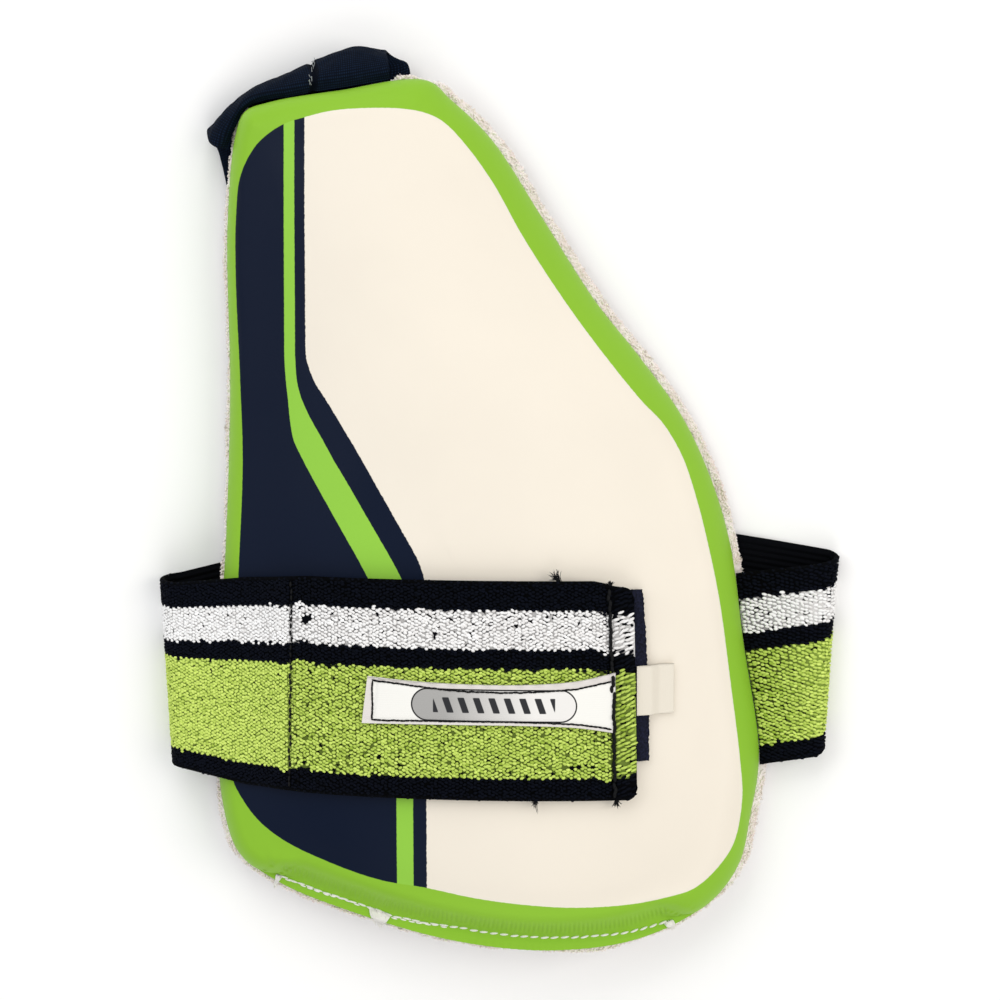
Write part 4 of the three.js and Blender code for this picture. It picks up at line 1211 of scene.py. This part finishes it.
x, part = np.meshgrid(np.linspace(label["x"][0], label["x"][-1], 250), np.linspace(0, 1, 50), indexing="ij")
y = mix(labelEdge("low", x), labelEdge("high", x), part)
height = labelHeight(x, y)
x = x + label["slant"] * part * smooth(-35, -47, x)  # the left end leans
labelGrid = np.stack([x, y, height], axis=-1)
labelPoints, labelFaces = wallFromGrid(labelGrid, label["depth"], label["depth"])
shape, bar = label["capsule"], label["bars"]
midX, midY = (shape["left"] + shape["right"]) / 2, (shape["low"] + shape["high"]) / 2
halfX, halfY = (shape["right"] - shape["left"]) / 2, (shape["high"] - shape["low"]) / 2
u, v = x - midX, y - midY - shape["slant"] * (x - midX)
capsule = halfY - np.hypot(np.maximum(np.abs(u) - halfX + halfY, 0), v)
phase = (u + bar["lean"] * v + bar["step"] / 2) % bar["step"] - bar["step"] / 2
bars = -np.maximum(np.maximum(np.abs(phase) - bar["half"], np.abs(v) - bar["tall"]), np.abs(u) - bar["reach"])
topInset, lowInset = labelInset(x)
sewnIn = np.minimum(labelEdge("high", x) - topInset - y, y - labelEdge("low", x) - lowInset)
sewnIn = np.minimum(sewnIn, x - label["endLine"])
labelValues = dict(capsule=capsule, bars=bars, sewnIn=sewnIn, along=(u + halfX) / (2 * halfX))
labelPiece = addPiece(
    "label_satin", labelPoints, labelFaces, satin, "strap_label",
    values={key: doubled(values) for key, values in labelValues.items()},
)

# Size tag: one strip folded back under itself, its two ends caught under the strap; bare.
tag = dict(left=46.8, right=59.5, low=-71.3, high=-54.4, gap=0.34, depth=0.13, caught=1.1, lift=0.32, flare=0.5)
tagSatin, node, place = newMaterial("plain_tag_satin")
weave = node("TexWave", {"Vector": place, "Scale": perRib(0.6042), "Distortion": 0.6}, 1, bands_direction="X")
bump = node("Bump", {"Height": weave, "Strength": 0.12, "Distance": 0.1 * mm})
shadeWith(node, Base_Color=colour("#E5DED0"), Roughness=0.5, Specular_IOR_Level=0.3, Normal=bump)
length = tag["right"] - tag["left"]
bend = math.pi * tag["gap"]
tagLength = 2 * length + bend - tag["caught"]
walk, y = np.meshgrid(np.linspace(0, tagLength, 90), np.linspace(tag["low"], tag["high"], 24), indexing="ij")
turning = np.clip((walk - length) / bend, 0, 1) * math.pi  # over the top layer, round the fold, back underneath
folded = np.where(turning < math.pi, length + tag["gap"] * np.sin(turning), 2 * length + bend - walk)
x = tag["left"] + np.where(walk < length, walk, folded) - 0.25
drop = -tag["gap"] * (1 - np.cos(turning))
onPatch = 1 - smooth(patch["right"] + 1, patch["right"] + 4.5, x)
flare = smooth(tag["right"] - 5, tag["right"], x) * (0.4 + 0.6 * smooth(tag["low"], tag["high"], y))
seatZ = faceAt(np.minimum(x, tag["right"]), y) + walls["seat"] + walls["label"] / 2
seatZ = seatZ + (walls["patch"] + walls["seat"]) * onPatch
tagGrid = np.stack([x, y, seatZ + tag["lift"] + drop + tag["flare"] * flare], axis=-1)
tagPoints, tagFaces = wallFromGrid(tagGrid, tag["depth"], tag["depth"])
tagPiece = addPiece("tag_strip", tagPoints, tagFaces, tagSatin, "size_tag")
print("patch, label and tag made")

# Sewing thread: hard-twisted polyester, white on the cover, black on the strap and label, grey in the belt loop.
threads = {}
for name, code, rough in (("white", "#F1EFEA", 0.6), ("black", "#07080B", 0.7), ("grey", "#9FA4A6", 0.7)):
    threads[name], node, place = newMaterial(f"{name}_sewing_thread")
    twist = node("TexNoise", {"Vector": place, "Scale": perCell(0.3333), "Detail": 1.0})  # plies, as coarse as shows
    bump = node("Bump", {"Height": twist, "Strength": 0.4, "Distance": 0.1 * mm})
    shadeWith(node, Base_Color=colour(code), Roughness=rough, Specular_IOR_Level=0.2, Normal=bump)


# Stitches along a line of points: one bean per pitch, aimed at the next place on the line and turned by the tilt.
def stitchesAlong(line, pitch, length, width, tilt=0.0, loose=0.05):
    run = walked(line)
    at = np.arange(pitch / 2, run[-1], pitch)
    ahead, behind = (
        np.stack([np.interp(at + step, run, line[:, k]) for k in range(3)], axis=1)
        for step in (length / 2, -length / 2)
    )
    places = (ahead + behind) / 2 + rng.normal(0, loose, (len(at), 3)) * [1, 1, 0.3]
    sizes = np.broadcast_to([length / 2, width / 2, width / 2], places.shape)
    aim = ahead - behind + rng.normal(0, 0.12, ahead.shape)
    turned = aim + math.tan(tilt) * np.column_stack([-aim[:, 1], aim[:, 0], 0 * aim[:, 2]])
    return scatterBeans(places, turned, np.broadcast_to([0, 0, 1.0], places.shape), sizes, beanShape(6, 4, 0.5))[:2]


# Several shapes as one: their faces count on from the points before them.
def joinShapes(shapes):
    offset, points, quads, others = 0, [], [], []
    for shapePoints, faces in shapes:
        points.append(shapePoints)
        quads.append(faces[0] + offset)
        others.append(faces[1] + offset)
        offset += len(shapePoints)
    return np.concatenate(points), [np.concatenate(quads), np.concatenate(others)]


# A line in plan laid on the worn face and raised by lift.
def onFace(line, lift):
    return np.column_stack([line, faceAt(*xy(line)) + faceWear(*xy(line)) + lift])


# Lockstitch on the lip: single and tilted to the right, gone over twice on the left.
halfWay = int(lockstitch["singleFrom"] * len(stitchLine))
single = stitchesAlong(onFace(stitchLine[halfWay:], 0.32), **lockstitch["single"])
first = stitchesAlong(onFace(stitchLine[:halfWay] + [0, 0.2], 0.3), **lockstitch["first"])
again = stitchesAlong(onFace(stitchLine[4:halfWay] + [0.2, -0.35], 0.25), **lockstitch["again"])
points, faces = joinShapes([single, first, again])
addPiece("lip_lockstitch", points, faces, threads["white"])

# Frayed white thread at three places on the lip: fibres from a stretch of the stitch line that meet over the edge.
frays = [
    dict(begin=(-45.8, -141.6), stop=(-38, -144.0), tip=(-41.8, -148.4), spread=1.1, count=150),
    dict(begin=(-78.6, -131.6), stop=(-77.0, -132.2), tip=(-79.6, -137.2), spread=0.4, count=50),
    dict(begin=(57.6, -148.4), stop=(60.4, -147.4), tip=(61.2, -151.0), spread=0.9, count=90),
]
threadSteps = np.linspace(0, 1, 7)
paths = []
for fray in frays:
    count = fray["count"]
    start = mix(np.array(fray["begin"]), np.array(fray["stop"]), rng.random((count, 1)))
    start = start + rng.normal(0, 0.2, (count, 2))
    tip = np.array(fray["tip"]) + rng.normal(0, fray["spread"] / 2, (count, 2))
    stop = mix(start, tip, rng.uniform(0.6, 1.1, (count, 1)))
    bowed = rng.normal(0, 0.3, (count, 1)) * threadSteps * (1 - threadSteps) * 4
    x = mix(start[:, :1], stop[:, :1], threadSteps) + bowed
    y = mix(start[:, 1:], stop[:, 1:], threadSteps) + 0.4 * bowed
    inside = insideBy(np.column_stack([x.ravel(), y.ravel()]), fineEdge).reshape(x.shape)
    onPad = faceAt(x, y) + faceWear(x, y) + 0.2
    rise = mix(backAt(x, y) + walls["towel"] + 1.0, onPad, smooth(-1.2, 0.4, inside))
    rise = rise + 0.5 * rng.random((count, 1))
    paths.append(np.stack([x, y, rise], axis=-1))
points, faces = threadTubes(np.concatenate(paths), 0.14, corners=4)
addPiece("lip_frays", points, faces, threads["white"])

# Black stitches: round the label, and down both sewn lines of the strap, where the right one is coarse.
sx = np.linspace(label["endLine"], 37.6, 160)
topInset, lowInset = labelInset(sx)
topLine = np.column_stack([sx, labelEdge("high", sx) - topInset])
lowLine = np.column_stack([sx, labelEdge("low", sx) + lowInset])
endLine = np.column_stack([np.full(40, label["endLine"]), np.linspace(lowLine[0, 1], topLine[0, 1], 40)])
shapes = []
for line in (topLine, lowLine, endLine):
    seamZ = labelHeight(line[:, 0], line[:, 1]) + label["depth"] + 0.08
    shapes.append(stitchesAlong(np.column_stack([line, seamZ]), **label["stitch"]))
points, faces = joinShapes(shapes)
labelStitches = addPiece("label_stitches", points, faces, threads["black"])
shapes = []
for (high, low, reach), stitch in zip(knit["seams"], knit["stitches"]):
    share = np.linspace(0.02, 0.98, 120)
    run = runAtX(mix(high, low, share))
    spot, along, side, out = strapFrame(run, (0.5 - share) * strapWidth(run))
    inLabel = np.minimum(labelEdge("high", spot[:, 0]) - spot[:, 1], spot[:, 1] - labelEdge("low", spot[:, 0]))
    overLabel = smooth(-0.5, 0.5, inLabel) * smooth(30, 36, spot[:, 0]) * (walls["seat"] + walls["label"] + 0.55)
    shapes.append(stitchesAlong(spot + out * (0.4 * reach + 0.2 + overLabel)[:, None], **stitch))
points, faces = joinShapes(shapes)
seamStitches = addPiece("strap_seam_stitches", points, faces, threads["black"])

# Loose thread ends at the strap's edges: soft wisps of fine fibres. Each gives its place along the strap, the edge,
# the way it points, its length, how far its fibres spread and how many there are.
tufts = [
    dict(x=20.8, share=0.004, turn=2.25, long=4.4, spread=0.16, count=44),
    dict(x=11.4, share=0.998, turn=4.6, long=1.6, spread=0.6, count=40),
    dict(x=11.6, share=0.998, turn=4.35, long=4.6, spread=0.08, count=8),
    dict(x=39, share=0.996, turn=4.72, long=2.8, spread=0.15, count=44),
    dict(x=37.8, share=0.006, turn=1.5, long=1.7, spread=0.45, count=40),
]
paths = []
for tuft in tufts:
    count = tuft["count"]
    run = runAtX(tuft["x"])
    root = strapFrame(run, (0.5 - tuft["share"]) * strapWidth(run))[0]
    long = tuft["long"] * rng.uniform(0.55, 1.1, (count, 1)) * threadSteps
    heading = tuft["turn"] + rng.normal(0, tuft["spread"], (count, 1)) + rng.normal(0, 0.3, (count, 1)) * threadSteps
    start = root + rng.normal(0, 0.3, (count, 3)) * [1, 0.6, 0.5]
    x = start[:, :1] + long * np.cos(heading)
    y = start[:, 1:2] + long * np.sin(heading)
    fallen = start[:, 2:] + 0.2 - threadSteps**1.5 * rng.uniform(0, 1, (count, 1))
    paths.append(np.stack([x, y, np.maximum(fallen, faceAt(x, y) + 0.3)], axis=-1))
points, faces = threadTubes(np.concatenate(paths), 0.085, corners=4)
looseThreads = addPiece("strap_loose_threads", points, faces, threads["black"])

# Pale threads in the belt loop's seam, lying along it: the rows of the loop's grid that they start from, how many
# there are and how far they sink into the webbing.
seamThread = dict(middle=23, rows=(4, 38), count=14, sunk=0.5, radius=0.1)
seamColumn = int(np.argmin(np.abs(loopGrid[seamThread["middle"], :, 0] - loop["seamX"])))
count = seamThread["count"]
pick = rng.integers(*seamThread["rows"], count)
base = loopGrid[pick, seamColumn] - gridNormals(loopGrid)[pick, seamColumn] * seamThread["sunk"]
drift = np.stack([rng.normal(0, 0.35, count), rng.normal(0, 0.3, count), np.zeros(count)], axis=1)
heading = np.stack([rng.normal(mid, stray, count) for mid, stray in ((-0.15, 0.3), (0.8, 0.3), (0.1, 0.2))], axis=1)
paths = (base + drift)[:, None] + heading[:, None] * np.linspace(-1.0, 1.0, 8)[None, :, None]
points, faces = threadTubes(paths, seamThread["radius"])
seamThreads = addPiece("loop_seam_threads", points, faces, threads["grey"])
print("stitches and loose threads made")
# Floor and soft studio light.
stageSet = dict(size=4.0, floor="#FFFFFF", sky=0.42, lamps=[
    dict(name="lamp_left", at=(-1.0, 0.5, 1.1), size=1.0, power=6.2, tint=(0.97, 0.985, 1)),
    dict(name="lamp_right", at=(1.0, 0.1, 1.1), size=1.0, power=8.2, tint=(1, 0.96, 0.9)),
    dict(name="lamp_low", at=(0.1, -1.1, 1.0), size=1.0, power=4.8, tint=(1, 1, 1)),
    dict(name="lamp_top", at=(-0.2, 1.2, 0.9), size=1.0, power=6.2, tint=(1, 1, 1)),
])
floorCard, node = newMaterial("matt_paper_floor")[:2]
shadeWith(node, Base_Color=colour(stageSet["floor"]), Roughness=0.9, Specular_IOR_Level=0.1)
half = stageSet["size"] / 2
floorMesh = bpy.data.meshes.new("floor")
floorMesh.from_pydata([(-half, -half, 0), (half, -half, 0), (half, half, 0), (-half, half, 0)], [], [(0, 1, 2, 3)])
floorMesh.materials.append(floorCard)
floor = bpy.data.objects.new("floor", floorMesh)
scene.collection.objects.link(floor)
for lamp in stageSet["lamps"]:
    light = bpy.data.lights.new(lamp["name"], "AREA")
    light.size = lamp["size"]
    light.energy = lamp["power"]
    light.color = lamp["tint"]
    holder = bpy.data.objects.new(lamp["name"], light)
    holder.location = lamp["at"]
    direction = -np.array(lamp["at"])
    holder.rotation_euler = (
        math.acos(-direction[2] / np.linalg.norm(direction)), 0, math.atan2(direction[1], direction[0]) - math.pi / 2,
    )
    scene.collection.objects.link(holder)
world = bpy.data.worlds.new("studio")
world.use_nodes = True
world.node_tree.nodes["Background"].inputs[0].default_value = (1, 1, 1, 1)
world.node_tree.nodes["Background"].inputs[1].default_value = stageSet["sky"]
scene.world = world
scene.view_settings.view_transform = "Standard"
print("stage set")
